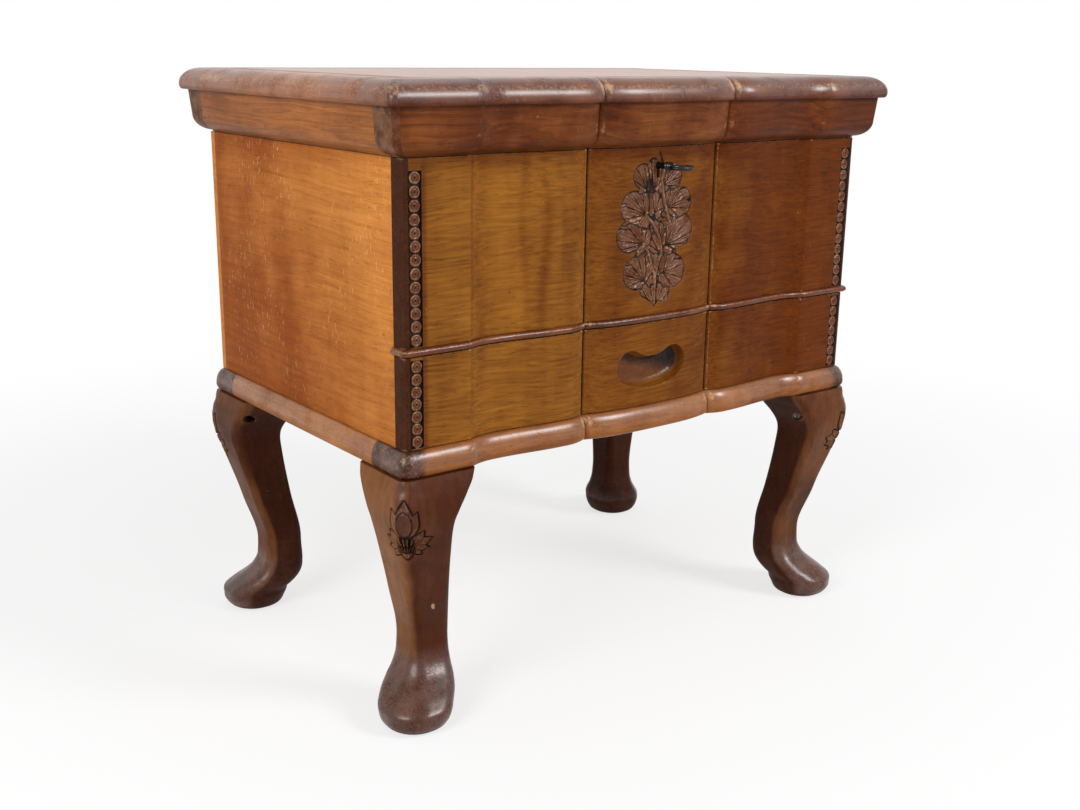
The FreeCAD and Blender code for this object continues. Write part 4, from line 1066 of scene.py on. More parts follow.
@dataclass(frozen=True)
class LeafPanel:
    """The carved panel in the middle of the front: vine leaves that fill a sunk scalloped field.

    The lobes make the leaves, stems are lines through points, and the scalloped outline is a
    union of rounds, each its middle and radius, with a tip above and one below.
    """

    depth: float = 1.9
    swell: float = 1.42
    pleat: float = 2.5
    folds: float = 11.0
    lobes: tuple[Lobe, ...] = (
        *leaf(-10.4, 341.4, (-30.5, 354.6, 9.0), (-33.2, 345.6, 8.5), (-27.8, 338.4, 6.5),
              (-17.0, 332.6, 6.0), (-21.6, 357.8, 8.0), (-12.5, 356.6, 7.0)),
        *leaf(-11.7, 320.8, (-32.6, 322.6, 7.5), (-35.6, 330.4, 8.5), (-28.8, 317.0, 6.5),
              (-24.2, 335.4, 8.0), (-13.6, 332.2, 6.5), (-21.5, 314.8, 6.0), (-6.2, 329.4, 5.5)),
        *leaf(-9.8, 294.2, (-12.8, 313.8, 7.0), (-21.6, 311.6, 7.5), (-28.0, 305.2, 8.0), (-28.8, 297.2, 7.5),
              (-23.0, 291.4, 6.5), (-3.0, 308.5, 5.0), (-7.0, 312.5, 4.5)),
        *leaf(8.5, 345.9, (11.5, 358.4, 6.5), (20.6, 358.8, 7.5), (29.4, 355.2, 8.0), (32.6, 347.6, 8.0),
              (29.4, 341.6, 6.5), (19.9, 338.8, 6.0)),
        *leaf(8.8, 318.2, (9.6, 331.4, 5.5), (17.8, 337.8, 7.0), (28.4, 338.2, 8.0), (34.6, 330.4, 8.5),
              (34.0, 323.0, 7.5), (29.8, 317.4, 6.5), (20.6, 314.4, 5.5)),
        *leaf(7.5, 298.9, (10.0, 311.0, 6.0), (18.2, 311.2, 7.0), (25.6, 306.4, 7.5), (28.6, 298.6, 7.5),
              (24.6, 290.6, 7.0), (16.6, 287.6, 6.0)),
        *leaf(-10.6, 358.9, (-17.0, 376.4, 7.5), (-21.8, 372.2, 7.5), (-22.4, 364.8, 6.5),
              (-12.0, 377.0, 5.5)),
        *leaf(-2.9, 358.9, (-4.4, 380.4, 7.0), (-8.7, 378.2, 5.0), (2.4, 372.4, 5.5), (4.1, 365.0, 4.5)),
        *leaf(4.7, 361.1, (7.1, 374.4, 6.0), (14.2, 375.8, 7.0), (21.2, 372.0, 7.5), (21.9, 364.0, 6.5),
              (17.4, 360.4, 5.0)),
        *leaf(0.2, 275.0, (-0.7, 291.8, 5.0), (-10.8, 291.4, 6.0), (-17.6, 289.0, 5.0), (6.7, 290.2, 5.5),
              (14.6, 287.4, 6.0), (13.6, 281.0, 4.0)),
        *leaf(-2.1, 341.7, (-7.6, 353.4, 5.5), (-1.5, 355.4, 5.5), (4.6, 351.8, 5.0), (4.4, 344.5, 4.0)),
        *leaf(2.4, 314.5, (-0.4, 326.9, 4.5), (-4.4, 322.6, 4.0), (-6.5, 317.5, 4.0)),
        *leaf(13.2, 334.6, (4.2, 337.0, 4.0), (7.4, 340.6, 4.0), (12.9, 341.4, 3.5)),
        *leaf(-1.6, 307.5, (-5.6, 315.8, 4.0), (0.6, 313.2, 4.0), (3.4, 300.0, 3.5)),
        *leaf(4.2, 323.5, (8.2, 331.5, 4.0), (5.0, 335.5, 4.0), (1.2, 333.6, 3.5)),
        *leaf(-2.4, 298.0, (-4.8, 291.0, 3.5), (-0.2, 290.0, 3.0)),
    )
    stems: tuple[tuple[tuple[float, float], ...], ...] = (
        ((0.2, 276.0), (0.3, 286.9), (0.8, 297.7), (2.8, 306.6), (5.9, 313.0), (5.1, 319.9), (1.6, 328.2),
         (-4.1, 335.7), (-10.4, 341.4)),
        ((3.2, 366.0), (4.7, 361.1), (5.6, 355.3), (7.9, 347.3), (10.7, 340.0), (13.0, 335.0)),
        ((-11.7, 320.8), (-7.0, 315.0), (-3.4, 306.0), (-0.5, 299.0), (0.6, 292.0)),
    )
    bumps: tuple[tuple[float, float, float], ...] = (
        (-14.5, 368.5, 9.3), (-21.8, 347.0, 12.2), (-25.0, 327.0, 12.0), (-18.0, 300.5, 12.4),
        (-8.0, 288.0, 6.6), (13.0, 367.0, 9.8), (22.3, 348.3, 11.6), (23.0, 328.5, 12.6), (17.0, 299.5, 12.6),
        (8.0, 284.8, 7.2), (-5.5, 375.5, 5.6), (0.0, 368.0, 10.0), (0.0, 352.0, 20.0), (0.0, 330.0, 22.0),
        (0.0, 308.0, 21.0), (0.0, 290.0, 12.0),
    )

    def roots(self) -> list[tuple[float, float]]:
        """The leaves' roots, each once."""
        return list(dict.fromkeys((lobe.x, lobe.z) for lobe in self.lobes))

    def between(self, x: Array, z: Array) -> Array:
        """How much further inside its own leaf each point is than any other leaf.

        Args:
            x, z: the points.

        Returns:
            The difference, 0 on the line between two leaves.
        """
        depth = [[lobe.inside(x, z, self.swell)[0] for lobe in self.lobes if (lobe.x, lobe.z) == root]
                 for root in self.roots()]
        depth = np.sort(np.stack([np.max(part, axis=0) for part in depth]), axis=0)
        return depth[-1] - depth[-2]

    def behind(self, x: Array, z: Array) -> tuple[Array, Array]:
        """Folds of the leaf parts that lie behind the lobes.

        Each point belongs to the nearest leaf's root, folds run out from there at even angles,
        and a cut follows the line between two roots' shares.

        Args:
            x, z: the points.

        Returns:
            Share of a fold's ridge, 0 to 1, and distance from the line between two shares.
        """
        roots = np.array(self.roots())
        away = np.hypot(x[None] - roots[:, 0, None, None], z[None] - roots[:, 1, None, None])
        nearest, second = np.argsort(away, axis=0)[:2]
        turn = np.arctan2(z - roots[nearest, 1], x - roots[nearest, 0]) + 0.7 * nearest
        first, other = (np.take_along_axis(away, part[None], 0)[0] for part in (nearest, second))
        return 0.5 - 0.5 * np.cos(turn * self.folds), other - first

    def inside(self, x: Array, z: Array) -> Array:
        """How far inside the scalloped outline each point is: a union of rounds and two tips.

        Args:
            x, z: the points.

        Returns:
            The distance, below 0 outside.
        """
        rounds = [r - np.hypot(x - cx, z - cz) for cx, cz, r in self.bumps]
        top = np.where(z > 374.0, np.minimum((386.1 - z) * 0.45 - np.abs(x - 0.4), 6.0), -FAR)
        low = np.where(z < 286.0, np.minimum((z - 274.2) * 0.85 - np.abs(x - 0.2), 6.0), -FAR)
        return np.max([*rounds, top, low], axis=0)

    def relief(self, x: Array, z: Array) -> tuple[Array, Marks]:
        """Height against the board's face, and marks, over the panel.

        The ground drops steeply inside the outline. A lobe stands just under the face, is pleated
        along its rib, keeps a ridge along its edge, and a V-shaped cut follows the line between two
        lobes and one side of each stem. Painted shade darkens the sunk ground, the cuts, the parts
        near the lines between leaves, the pleats' troughs and the outline's edge, widest on the
        left; painted highlights lie on the ridges, the pleats' crests, the stems, the ground's folds
        and the outline's lower right edge.

        Args:
            x, z: the points.

        Returns:
            Height, 0 or less, and marks that are 0 outside the outline.
        """
        inside = self.inside(x, z)
        crest, apart = self.behind(x, z)
        ground = 1.0 + 0.5 * (1 - crest) ** 2 + 0.9 * peak(apart, 0.6)
        ground = -np.minimum(ground, self.depth) * smoothstep(-0.15, 0.6, inside)
        cover, gap, across = leaf_field(self.lobes, x, z, self.swell)
        between = self.between(x, z)
        cut = np.maximum(peak(gap, 0.62), peak(between, 1.15))
        ridge = peak(gap - 1.3, 0.4) * smoothstep(0.9, 1.8, between)
        wave = across + 0.25 * np.sin(0.9 * x + 0.7 * z)
        fold = 0.5 - 0.5 * np.cos(2 * np.pi * wave / self.pleat)
        lobe = -0.3 - 0.45 * smoothstep(0.9, 3.2, gap) - 1.2 * cut - 0.42 * (1 - fold)
        on = smoothstep(-0.25, 0.3, cover) * smoothstep(0.25, 1.0, inside)
        height = ground + on * (lobe - ground)
        stem = np.min([from_line(line, x, z) for line in self.stems], axis=0)
        shaded = ([(a + 1.5, b - 0.6) for a, b in line] for line in self.stems)
        shade = np.min([from_line(line, x, z) for line in shaded], axis=0)
        groove = peak(shade, 0.75) * (inside > 1.0)
        height = height + groove * (np.minimum(height, -1.8) - height)
        bar = smoothstep(1.15, 0.75, stem) * (inside > 1.0)
        height = height + bar * (-0.35 - 0.35 * np.minimum(stem, 1.0) ** 2 - height)
        zone, deep, leafy = smoothstep(0.0, 0.4, inside), smoothstep(-1.3, -1.8, height), on * (1 - bar)
        # A painted shadow along the outline's edge, widest on the left.
        turned = smoothstep(12.0, -14.0, x)
        edge = peak(inside - 0.2 - 0.35 * turned, 0.42 + 0.6 * turned)
        hollow = 0.36 * smoothstep(3.2, 0.8, between) * (1 - ridge) * leafy
        # Painted shade: the sunk ground, near the lines between leaves, the cuts, the pleats' troughs and the
        # outline's edge.
        dark = [0.9 * deep, hollow, cut * (1 - bar), 0.5 * (1 - fold) ** 3 * leafy, 0.95 * edge]
        # Painted highlights: the ridges, the pleats' crests, the stems and the ground's folds.
        light = [0.9 * ridge * leafy * (0.35 + 0.65 * fold), 0.45 * fold ** 3 * leafy, 0.45 * bar,
                 0.45 * crest ** 3 * (1 - on) * (1 - bar)]
        # A painted highlight along the outline's lower right edge.
        rim = peak(inside + 0.45, 0.4) * smoothstep(-6.0, 18.0, x + 0.25 * (330 - z))
        wear = np.maximum(zone * (1 - deep) * np.max(light, axis=0), 0.5 * rim)
        return height, Marks(wear, zone * np.max(dark, axis=0), 0.7 * zone, 0.6 * zone, 0.25 * zone)


@dataclass(frozen=True)
class BeadStrip:
    """A column of round beads with a dot in each, on a sunk ground darkened by painted shade."""

    middle: float = 201.0
    half: float = 4.75
    top: float = 380.4
    low: float = 270.3
    count: int = 13
    radius: float = 4.05
    ring: float = 2.3

    def relief(self, x: Array, z: Array) -> tuple[Array, Marks]:
        """Height and marks over both strips, by distance from the nearest bead's middle.

        Args:
            x, z: the points.

        Returns:
            Height against the board's face, and marks.
        """
        pitch = (self.top - self.low) / self.count
        across = np.abs(x) - self.middle
        number = np.floor((z - self.low) / pitch)
        wobble = 0.22 * np.sin(7.3 * number + 1.7 * np.sign(x))
        up = z - self.low - (number + 0.5) * pitch + 0.15 * np.sin(5.1 * number)
        r = np.hypot((across - wobble) * (1 + 0.03 * np.sin(3.0 * number)), up)
        within = np.minimum(self.half - np.abs(across), np.minimum(self.top - z, z - self.low))
        ground = -1.7 * smoothstep(-0.15, 0.45, within)
        bead = -0.10 - 0.50 * smoothstep(self.radius - 1.1, self.radius, r) ** 2
        bead -= 0.45 * peak(r - self.ring, 0.45) + 1.2 * peak(r, 0.62)
        on = smoothstep(self.radius + 0.25, self.radius - 0.2, r) * (within > -0.1)
        # Painted shade in the sunk ground, in each bead's dot and in its ring groove.
        gaps = np.maximum(0.92 * smoothstep(0.6, 0.2, on), 0.85 * peak(r, 0.75))
        grime = np.maximum(np.where(within > -0.3, gaps, 0.0), 0.34 * peak(r - self.ring, 0.55) * on)
        wear = 0.34 * on * smoothstep(2.6, 3.3, r) + 0.18 * on * smoothstep(1.0, 1.5, r)
        zone = smoothstep(-0.6, 0.0, within)
        wear = wear + 0.25 * peak(within + 0.5, 0.5)
        return ground + on * (bead - ground), Marks(wear, grime, 0.8 * zone, 0.25 * zone, 0.3 * zone)


@dataclass(frozen=True)
class FingerRecess:
    """Kidney-shaped scoop in the drawer front: two lobes, a belly below and a dip above."""

    z: float = 232.0
    lobe: float = 12.2
    offset: float = 20.5
    belly: float = 16.6
    notch: float = 6.5
    depth: float = 9.5
    round: float = 7.0

    def inside(self, x: Array, z: Array) -> Array:
        """How far inside the outline each point is, from its four tangent arcs.

        The lobes are rounds at both ends. The belly is an arc whose middle lies above, and the
        notch one whose middle lies above too, so that each touches both lobes. A point
        beyond the line from an arc's middle to a lobe's middle belongs to the lobe.

        Args:
            x, z: the points.

        Returns:
            Distance to the nearest arc, above 0 inside.
        """
        a, r, belly, notch = self.offset, self.lobe, self.belly, self.notch
        big = (a * a + belly * belly - r * r) / (2 * (belly - r))
        small = (a * a + notch * notch - r * r) / (2 * (r - notch))
        ax, up = np.abs(x), z - self.z
        to_lobe = r - np.hypot(ax - a, up)
        to_belly = big - np.hypot(ax, up + belly - big)
        to_notch = np.hypot(ax, up - notch - small) - small
        outer = ax > a * (1 - up / np.where(up < 0, big - belly, small + notch))
        return np.where(outer, to_lobe, np.minimum(to_belly, to_notch))

    def depth_at(self, inside: Array) -> Array:
        """Depth of the scoop: a wall, then a quarter round, then a flat floor.

        Args:
            inside: how far inside the outline each point is.

        Returns:
            The depths.
        """
        bowl = self.round * np.sqrt(np.clip(1 - (1 - np.clip(inside / self.round, 0, 1)) ** 2, 0, 1))
        wall = (self.depth - self.round) * smoothstep(-0.3, 0.8, inside)
        return smoothstep(-0.8, 0.4, inside) * (wall + bowl)

    def relief(self, x: Array, z: Array) -> tuple[Array, Marks]:
        """Height and marks over the scoop, whose depth counts from the belly of the front line.

        Painted shade darkens the bowl, most towards its top, under the upper wall.

        Args:
            x, z: the points.

        Returns:
            Height against the board's face, and marks.
        """
        inside = self.inside(x, z)
        level = (LINE.at(x) + LINE.rise) * smoothstep(-0.3, 3.0, inside)
        height = -np.maximum(self.depth_at(inside) - level, 0.0)
        bowl = smoothstep(0.0, 4.0, inside)
        # Painted shade darkens the bowl, most towards its top, where the upper wall shades it.
        grime = bowl * (0.3 + 0.5 * smoothstep(-8.0, 8.0, z - self.z + 0.3 * x))
        return height, Marks(0.45 * peak(inside + 0.5, 0.6), grime, 0.8 * bowl, 0.2 * bowl, 0.3 * bowl)


@dataclass(frozen=True)
class Keyhole:
    """Round hole with a slot below it, and the room for the lock behind it."""

    z: float = 375.6
    radius: float = 2.8
    slot: float = 1.7
    drop: float = 8.8
    room_half: float = 25.0
    room_height: float = 27.0
    room_depth: float = 7.3

    def inside(self, x: Array, z: Array) -> Array:
        """How far inside the keyhole each point is.

        Args:
            x, z: the points.

        Returns:
            The distance, below 0 outside.
        """
        slot = np.minimum(self.slot - np.abs(x), np.minimum(self.z - z, z - self.z + self.drop))
        return np.maximum(self.radius - np.hypot(x, z - self.z), slot)


# Soft upright bands where the veneer's figure is dark: middle, width, strength and height.
DARK_BANDS = (
    (-98.0, 5.0, 0.50, 318.0), (-74.0, 6.0, 0.36, 310.0), (-114.0, 3.5, 0.30, 330.0),
    (-85.0, 3.0, 0.22, 340.0), (-150.0, 5.0, 0.25, 290.0), (70.0, 5.0, 0.2, 300.0),
    (112.0, 10.0, 0.3, 330.0), (-30.0, 9.0, 0.15, 350.0), (40.0, 9.0, 0.15, 320.0),
)
# Rises of the shade from the left to the right, partly the veneer's tone and partly painted shade: how much,
# where from and where to.
DARKER_RIGHT = ((0.50, -66.0, -55.0), (0.10, -30.0, 50.0), (0.30, 58.0, 100.0), (0.2, 130.0, 160.0))


def board_shade(x: Array, z: Array) -> Array:
    """Darker places of the front boards, 0 to 1.

    The veneer's dark bands; a darkening in steps towards the right-hand end, partly the
    veneer's tone and partly painted shade; painted shade along the arrises of the coves and
    in them; and a painted shadow along the top edge under the lid.

    Args:
        x, z: the points.

    Returns:
        The shade.
    """
    shade = sum(strength * smoothstep(low, high, x) for strength, low, high in DARKER_RIGHT)
    for middle, width, strength, height in DARK_BANDS:
        sway = middle + 2.5 * np.sin(z / 19.0 + middle)
        shade = shade + strength * peak(x - sway, width) * peak(z - height, 75.0)
    # Painted shade along each cove's arris and in the cove.
    shade = shade + 0.35 * peak(np.abs(x) - 157.6, 1.3) + 0.16 * peak(np.abs(x) - 146.0, 9.0)
    # A painted shadow along the top edge, under the lid.
    shade = shade + 0.45 * smoothstep(374.0, 388.0, z)
    return np.clip(shade - 0.25 * smoothstep(262.0, 210.0, z) * smoothstep(20.0, -150.0, x), 0.0, 1.0)


@dataclass
class FrontBoard:
    """A wavy front board as a field of heights over x and z, closed by its sides and back.

    The face at (x, z) is (x, front + line(x) - height, z), where the height is the lowest of
    its carvings'. Near the corners it turns back with the corner's radius, and its top and
    bottom edges are eased. Its middle is dense between two positions, with a step of its own.
    """

    name: str
    node: str
    body: Body
    low: float
    high: float
    back: float
    dense: Triple
    step: float
    carvings: tuple[Union[LeafPanel, BeadStrip, FingerRecess], ...]
    hole: Optional[Keyhole] = None
    corner: float = 3.0
    ease: float = 0.5

    def build(self) -> None:
        """Build the board in three stretches that meet in its two grooves."""
        g, (start, end, step) = LINE.groove, self.dense
        middle = spread((-g, 0.35), (2.2 - g, 1.2), (start, step), (end, 1.2), (g - 2.2, 0.35), (g, 1))
        half = spread((g, 0.35), (g + 2.2, 1.6), (130, 1.4), (158.4, 0.4), (161.6, 3.0), (194.6, 0.32),
                      (207.0, 0.3), (SIZES.half_width, 1))
        for tail, xs, up in (("middle", middle, self.step), ("right", half, 0.4), ("left", -half[::-1], 0.4)):
            zs = spread((self.low, 0.15), (self.low + 0.6, up), (self.high - 0.6, 0.15), (self.high, 1))
            self._stretch(tail, xs, zs, self.hole if tail == "middle" else None)

    def _stretch(self, tail: str, xs: Array, zs: Array, hole: Optional[Keyhole]) -> None:
        """One stretch of the board between two x positions, closed all round.

        Args:
            tail: end of the piece's name.
            xs: positions across.
            zs: positions up.
            hole: the keyhole, where it is cut here.
        """
        x, z = np.meshgrid(xs, zs)
        near = np.minimum(self.high - z, z - self.low)
        height, marks = 0.0, self._board_marks(x, z, near)
        for carving in self.carvings:
            lower, more = carving.relief(x, z)
            height, marks = np.minimum(height, lower), marks.most(more)
        past = np.maximum(np.abs(x) - (SIZES.half_width - self.corner), 0.0)
        y = SIZES.front + LINE.at(x) - height
        y += self.corner - np.sqrt(np.maximum(self.corner ** 2 - past ** 2, 0.0))
        y += self.ease * (1 - np.sqrt(np.clip(1 - (1 - np.clip(near / self.ease, 0, 1)) ** 2, 0, 1)))
        rows, columns = x.shape
        front = np.stack([x, y, z], -1).reshape(-1, 3)
        quads = grid_faces(rows, columns)
        ring = np.concatenate([
            np.arange(columns), np.arange(1, rows) * columns + columns - 1,
            (rows - 1) * columns + np.arange(columns - 2, -1, -1), np.arange(rows - 2, 0, -1) * columns,
        ])
        rear = front[ring] * (1, 0, 1) + (0, self.back, 0)
        rear_ids = len(front) + np.arange(len(ring))
        skirt = np.stack([np.roll(ring, -1), ring, rear_ids, np.roll(rear_ids, -1)], -1).tolist()
        points = [front, rear]
        if hole:
            quads = quads[~(hole.inside(x, z).ravel()[quads].min(axis=1) > 0.0)]
            faces = [*quads, *self._lock_room(hole, quads, points, skirt)]
        else:
            faces = [*quads, *skirt, rear_ids]
        points = np.vstack(points)
        bare = np.zeros(len(points) - rear_ids[-1] - 1)
        marks = Marks(*(np.concatenate([v.ravel(), v.ravel()[ring] * (word != "wear"), bare])
                        for word, v in vars(marks).items()))
        make_piece("%s_%s" % (self.name, tail), points, faces, self.body,
                   FRONT.material(Grain.ACROSS), marks, [self.node], 50.0)

    def _board_marks(self, x: Array, z: Array, near: Array) -> Marks:
        """Marks of the bare board: light along edges, grooves and arrises, painted shade in grooves and at
        its ends.

        Args:
            x, z: the points.
            near: distance from the nearer of the board's top and bottom edges.

        Returns:
            The marks.
        """
        ax = np.abs(x)
        past_groove = ax - LINE.groove
        wear = 0.5 * peak(near, 0.9) + 0.42 * peak(ax - SIZES.half_width + 0.5, 1.0)
        wear = wear + 0.50 * peak(past_groove - 1.9, 0.7) + 0.30 * peak(past_groove + 1.9, 0.7)
        wear = wear + 0.26 * peak(ax - LINE.arris, 1.0)
        knot = np.hypot((x + 125.3) / 1.7, z - 297.2)
        knot = 0.7 * peak(knot, 0.9) + 0.3 * peak(knot - 2.4, 0.5)
        strip = smoothstep(204.9, 205.8, ax)
        # Painted shade in each groove and on the turned ends; the knot is dark wood.
        grime = np.max([0.75 * peak(past_groove, 0.8), knot, 0.54 * strip], axis=0)
        line = 0.6 * smoothstep(192.0, 194.5, ax) * smoothstep(197.5, 196.5, ax)
        return Marks(wear, grime, np.max([board_shade(x, z), strip, line], axis=0), 0.1 * strip, 0.04 * strip)

    def _lock_room(
        self, hole: Keyhole, quads: Array, points: list[Array], skirt: list[list[int]]
    ) -> list[list[int]]:
        """The back of the board with the room for the lock, open at the top, and the keyhole into it.

        Args:
            hole: the keyhole and the room's sizes.
            quads: faces of the face, without those in the keyhole.
            points: the face's vertices and those round the board's back, of which the ones that
                lie in the room move to its floor; it gets the new vertices.
            skirt: faces between the face's outline and the back's, one per step round.

        Returns:
            The new faces and the skirt's.
        """
        front, rear = points
        half, floor, foot = hole.room_half, self.back - hole.room_depth, self.high - hole.room_height
        top = np.flatnonzero(rear[:, 2] > self.high - 1e-6)
        right, left = (int(top[np.argmin(np.abs(rear[top, 0] - at))]) for at in (half, -half))
        rear[right:left + 1, 1] = floor
        rear[right, 0], rear[left, 0] = half, -half
        corners = [(half, self.back, self.high), (half, self.back, foot), (-half, self.back, foot),
                   (-half, self.back, self.high), (half, floor, foot), (-half, floor, foot)]
        ids = list(range(len(front), len(front) + len(rear)))
        first = ids[-1] + 1
        e_right, c_right, c_left, e_left, f_right, f_left = range(first, first + 6)
        skirt[right - 1].insert(3, e_right)
        skirt[left].insert(3, e_left)
        faces = skirt + [
            ids[:right] + [e_right, c_right, c_left, e_left] + ids[left + 1:],
            [e_right, c_right, f_right, ids[right]], [c_right, c_left, f_left, f_right],
            [c_left, e_left, ids[left], f_left],
        ]
        loop = self._keyhole_loop(hole, quads, front)
        inner = front[loop] * (1, 0, 1) + (0, floor, 0)
        points += [np.array(corners), inner]
        n, first = len(loop), first + 6
        faces += [[loop[(k + 1) % n], loop[k], first + k, first + (k + 1) % n] for k in range(n)]
        # The floor is a ring between its outline and the keyhole, split from the hole's top and foot.
        above, below = int(np.argmax(inner[:, 2])), int(np.argmin(inner[:, 2]))
        split = right + int(np.argmin(np.abs(rear[right:left + 1, 0] - inner[above, 0])))
        ways = [[(below + s * k) % n for k in range((s * (above - below)) % n + 1)] for s in (1, -1)]
        to_left, to_right = sorted(ways, key=lambda way: float(np.mean(inner[way, 0])))
        faces.append(ids[split:left + 1] + [f_left] + [first + k for k in to_left])
        faces.append(ids[right:split + 1] + [first + k for k in to_right[::-1]] + [f_left, f_right])
        return faces

    @staticmethod
    def _keyhole_loop(hole: Keyhole, quads: Array, front: Array) -> list[int]:
        """Vertices round the keyhole in the face, in order.

        Args:
            hole: the keyhole.
            quads: faces of the face, without those in the keyhole.
            front: its vertices.

        Returns:
            Their indices.
        """
        edges = np.concatenate([quads[:, [k, (k + 1) % 4]] for k in range(4)])
        _, index, uses = np.unique(np.sort(edges, axis=1), axis=0, return_index=True, return_counts=True)
        rim = edges[index[uses == 1]]
        middle = front[rim].mean(axis=1)
        rim = rim[(np.abs(middle[:, 0]) < 8) & (np.abs(middle[:, 2] - hole.z + 3) < 12)]
        follow = {int(a): int(b) for a, b in rim}
        loop = [int(rim[0, 0])]
        while follow[loop[-1]] != loop[0]:
            loop.append(follow[loop[-1]])
        return loop


# Legs


@dataclass(frozen=True)
class KneeLeaf:
    """Leaf cut into the knee's arris: a bud before a tall leaf, side leaves, a fan of short cuts."""

    lobes: tuple[Lobe, ...] = (
        Lobe(0.0, 150.0, 0.2, 171.4, 9.5), Lobe(-2.5, 147.0, -8.0, 165.0, 7.0),
        Lobe(2.5, 147.0, 7.6, 163.5, 7.0),
        *leaf(-3.0, 139.0, (-10.0, 150.0, 6.0), (-12.6, 144.2, 6.0), (-11.6, 136.6, 6.0), (-7.0, 130.6, 5.5)),
        *leaf(3.0, 139.0, (11.4, 149.0, 6.0), (15.2, 143.4, 6.5), (12.6, 136.2, 6.0), (8.0, 132.0, 5.5)),
        Lobe(0.0, 138.0, 0.3, 128.8, 6.5),
    )
    bud_z: float = 155.5
    bud_half: tuple[float, float] = (4.6, 8.8)
    broad: float = 1.28
    fan_z: float = 139.5
    fan_below: float = 12.0
    fan_turn: float = 0.15

    def relief(self, a: Array, z: Array) -> tuple[Array, Marks]:
        """Height and marks over distance across the arris and height above the floor.

        The leaf stays level with the knee inside a moat cut round it. Cuts follow the lines
        between lobes and their ribs, the bud is an oval hollow, and the fan is a row of
        wedges at even angles from a point below. Painted shade darkens the moat, the cuts, the
        ribs, the bud's ring and hollow, and the fan.

        Args:
            a: distance across from the arris.
            z: height above the floor.

        Returns:
            Height against the knee, and marks.
        """
        a, up = a / self.broad, z - self.fan_z
        cover, gap, across = leaf_field(self.lobes, a, z)
        wide, tall = self.bud_half
        bud = wide * (1.0 - np.hypot(a / wide, (z - self.bud_z) / tall))
        in_bud, on_leaf = smoothstep(-0.1, 0.3, bud), smoothstep(-0.1, 0.3, cover)
        leafy = on_leaf * (1 - in_bud)
        moat = peak(np.maximum(cover, bud) + 0.7, 0.62)
        cut, rib = peak(gap, 0.36) * leafy, peak(across, 0.3) * leafy
        ring, hollow = peak(bud, 0.42), smoothstep(0.2, 2.4, bud)
        turn = np.arctan2(a, up + self.fan_below) / self.fan_turn
        fan = smoothstep(0.40, 0.26, np.abs(turn - np.round(turn))) * smoothstep(5.4, 4.8, np.abs(a))
        fan = fan * smoothstep(-7.0, -5.5, up) * smoothstep(6.5, 5.0, up)
        height = 0.18 * leafy * smoothstep(0.2, 1.6, gap) - 1.35 * moat - 0.85 * cut - 0.4 * rib
        height = height - 0.8 * ring - 0.9 * hollow - 1.1 * fan
        # Painted shade in the moat, the cuts, the ribs, the bud's ring and hollow and the fan.
        grime = np.max([1.1 * moat, 0.85 * cut, 0.5 * rib, 0.95 * ring, 1.1 * fan, 0.2 * hollow], axis=0)
        wear = 0.38 * leafy * smoothstep(0.4, 1.2, gap) * (1 - fan) * (1 - moat)
        both = np.maximum(on_leaf, in_bud)
        stain, gloss = np.maximum(in_bud, 0.25 * both), 0.3 * in_bud + 0.1 * both
        return height, Marks(wear, grime, stain, 0 * in_bud, gloss)


# Height, how far the outer faces stand out, width, and share of the width that is rounded.
LEG_LEVELS = (
    (0.0, 3.75, 32.5, 0.47), (1.2, 6.9, 39.0, 0.47), (3.0, 9.3, 43.5, 0.47), (8.0, 12.0, 48.5, 0.46),
    (14.0, 12.3, 50.5, 0.45), (21.0, 7.0, 49.0, 0.42), (28.0, -0.8, 44.0, 0.38), (36.0, -8.6, 36.8, 0.33),
    (46.0, -13.0, 31.7, 0.28), (60.0, -13.8, 30.2, 0.26), (95.68, -5.6, 32.8, 0.15),
    (135.0, 5.0, 38.5, 0.094), (150.0, 9.2, 42.5, 0.094), (160.0, 10.6, 48.0, 0.094),
    (170.0, 10.0, 53.8, 0.094), (178.0, 8.0, 57.0, 0.078), (184.0, 6.0, 57.8, 0.078),
)


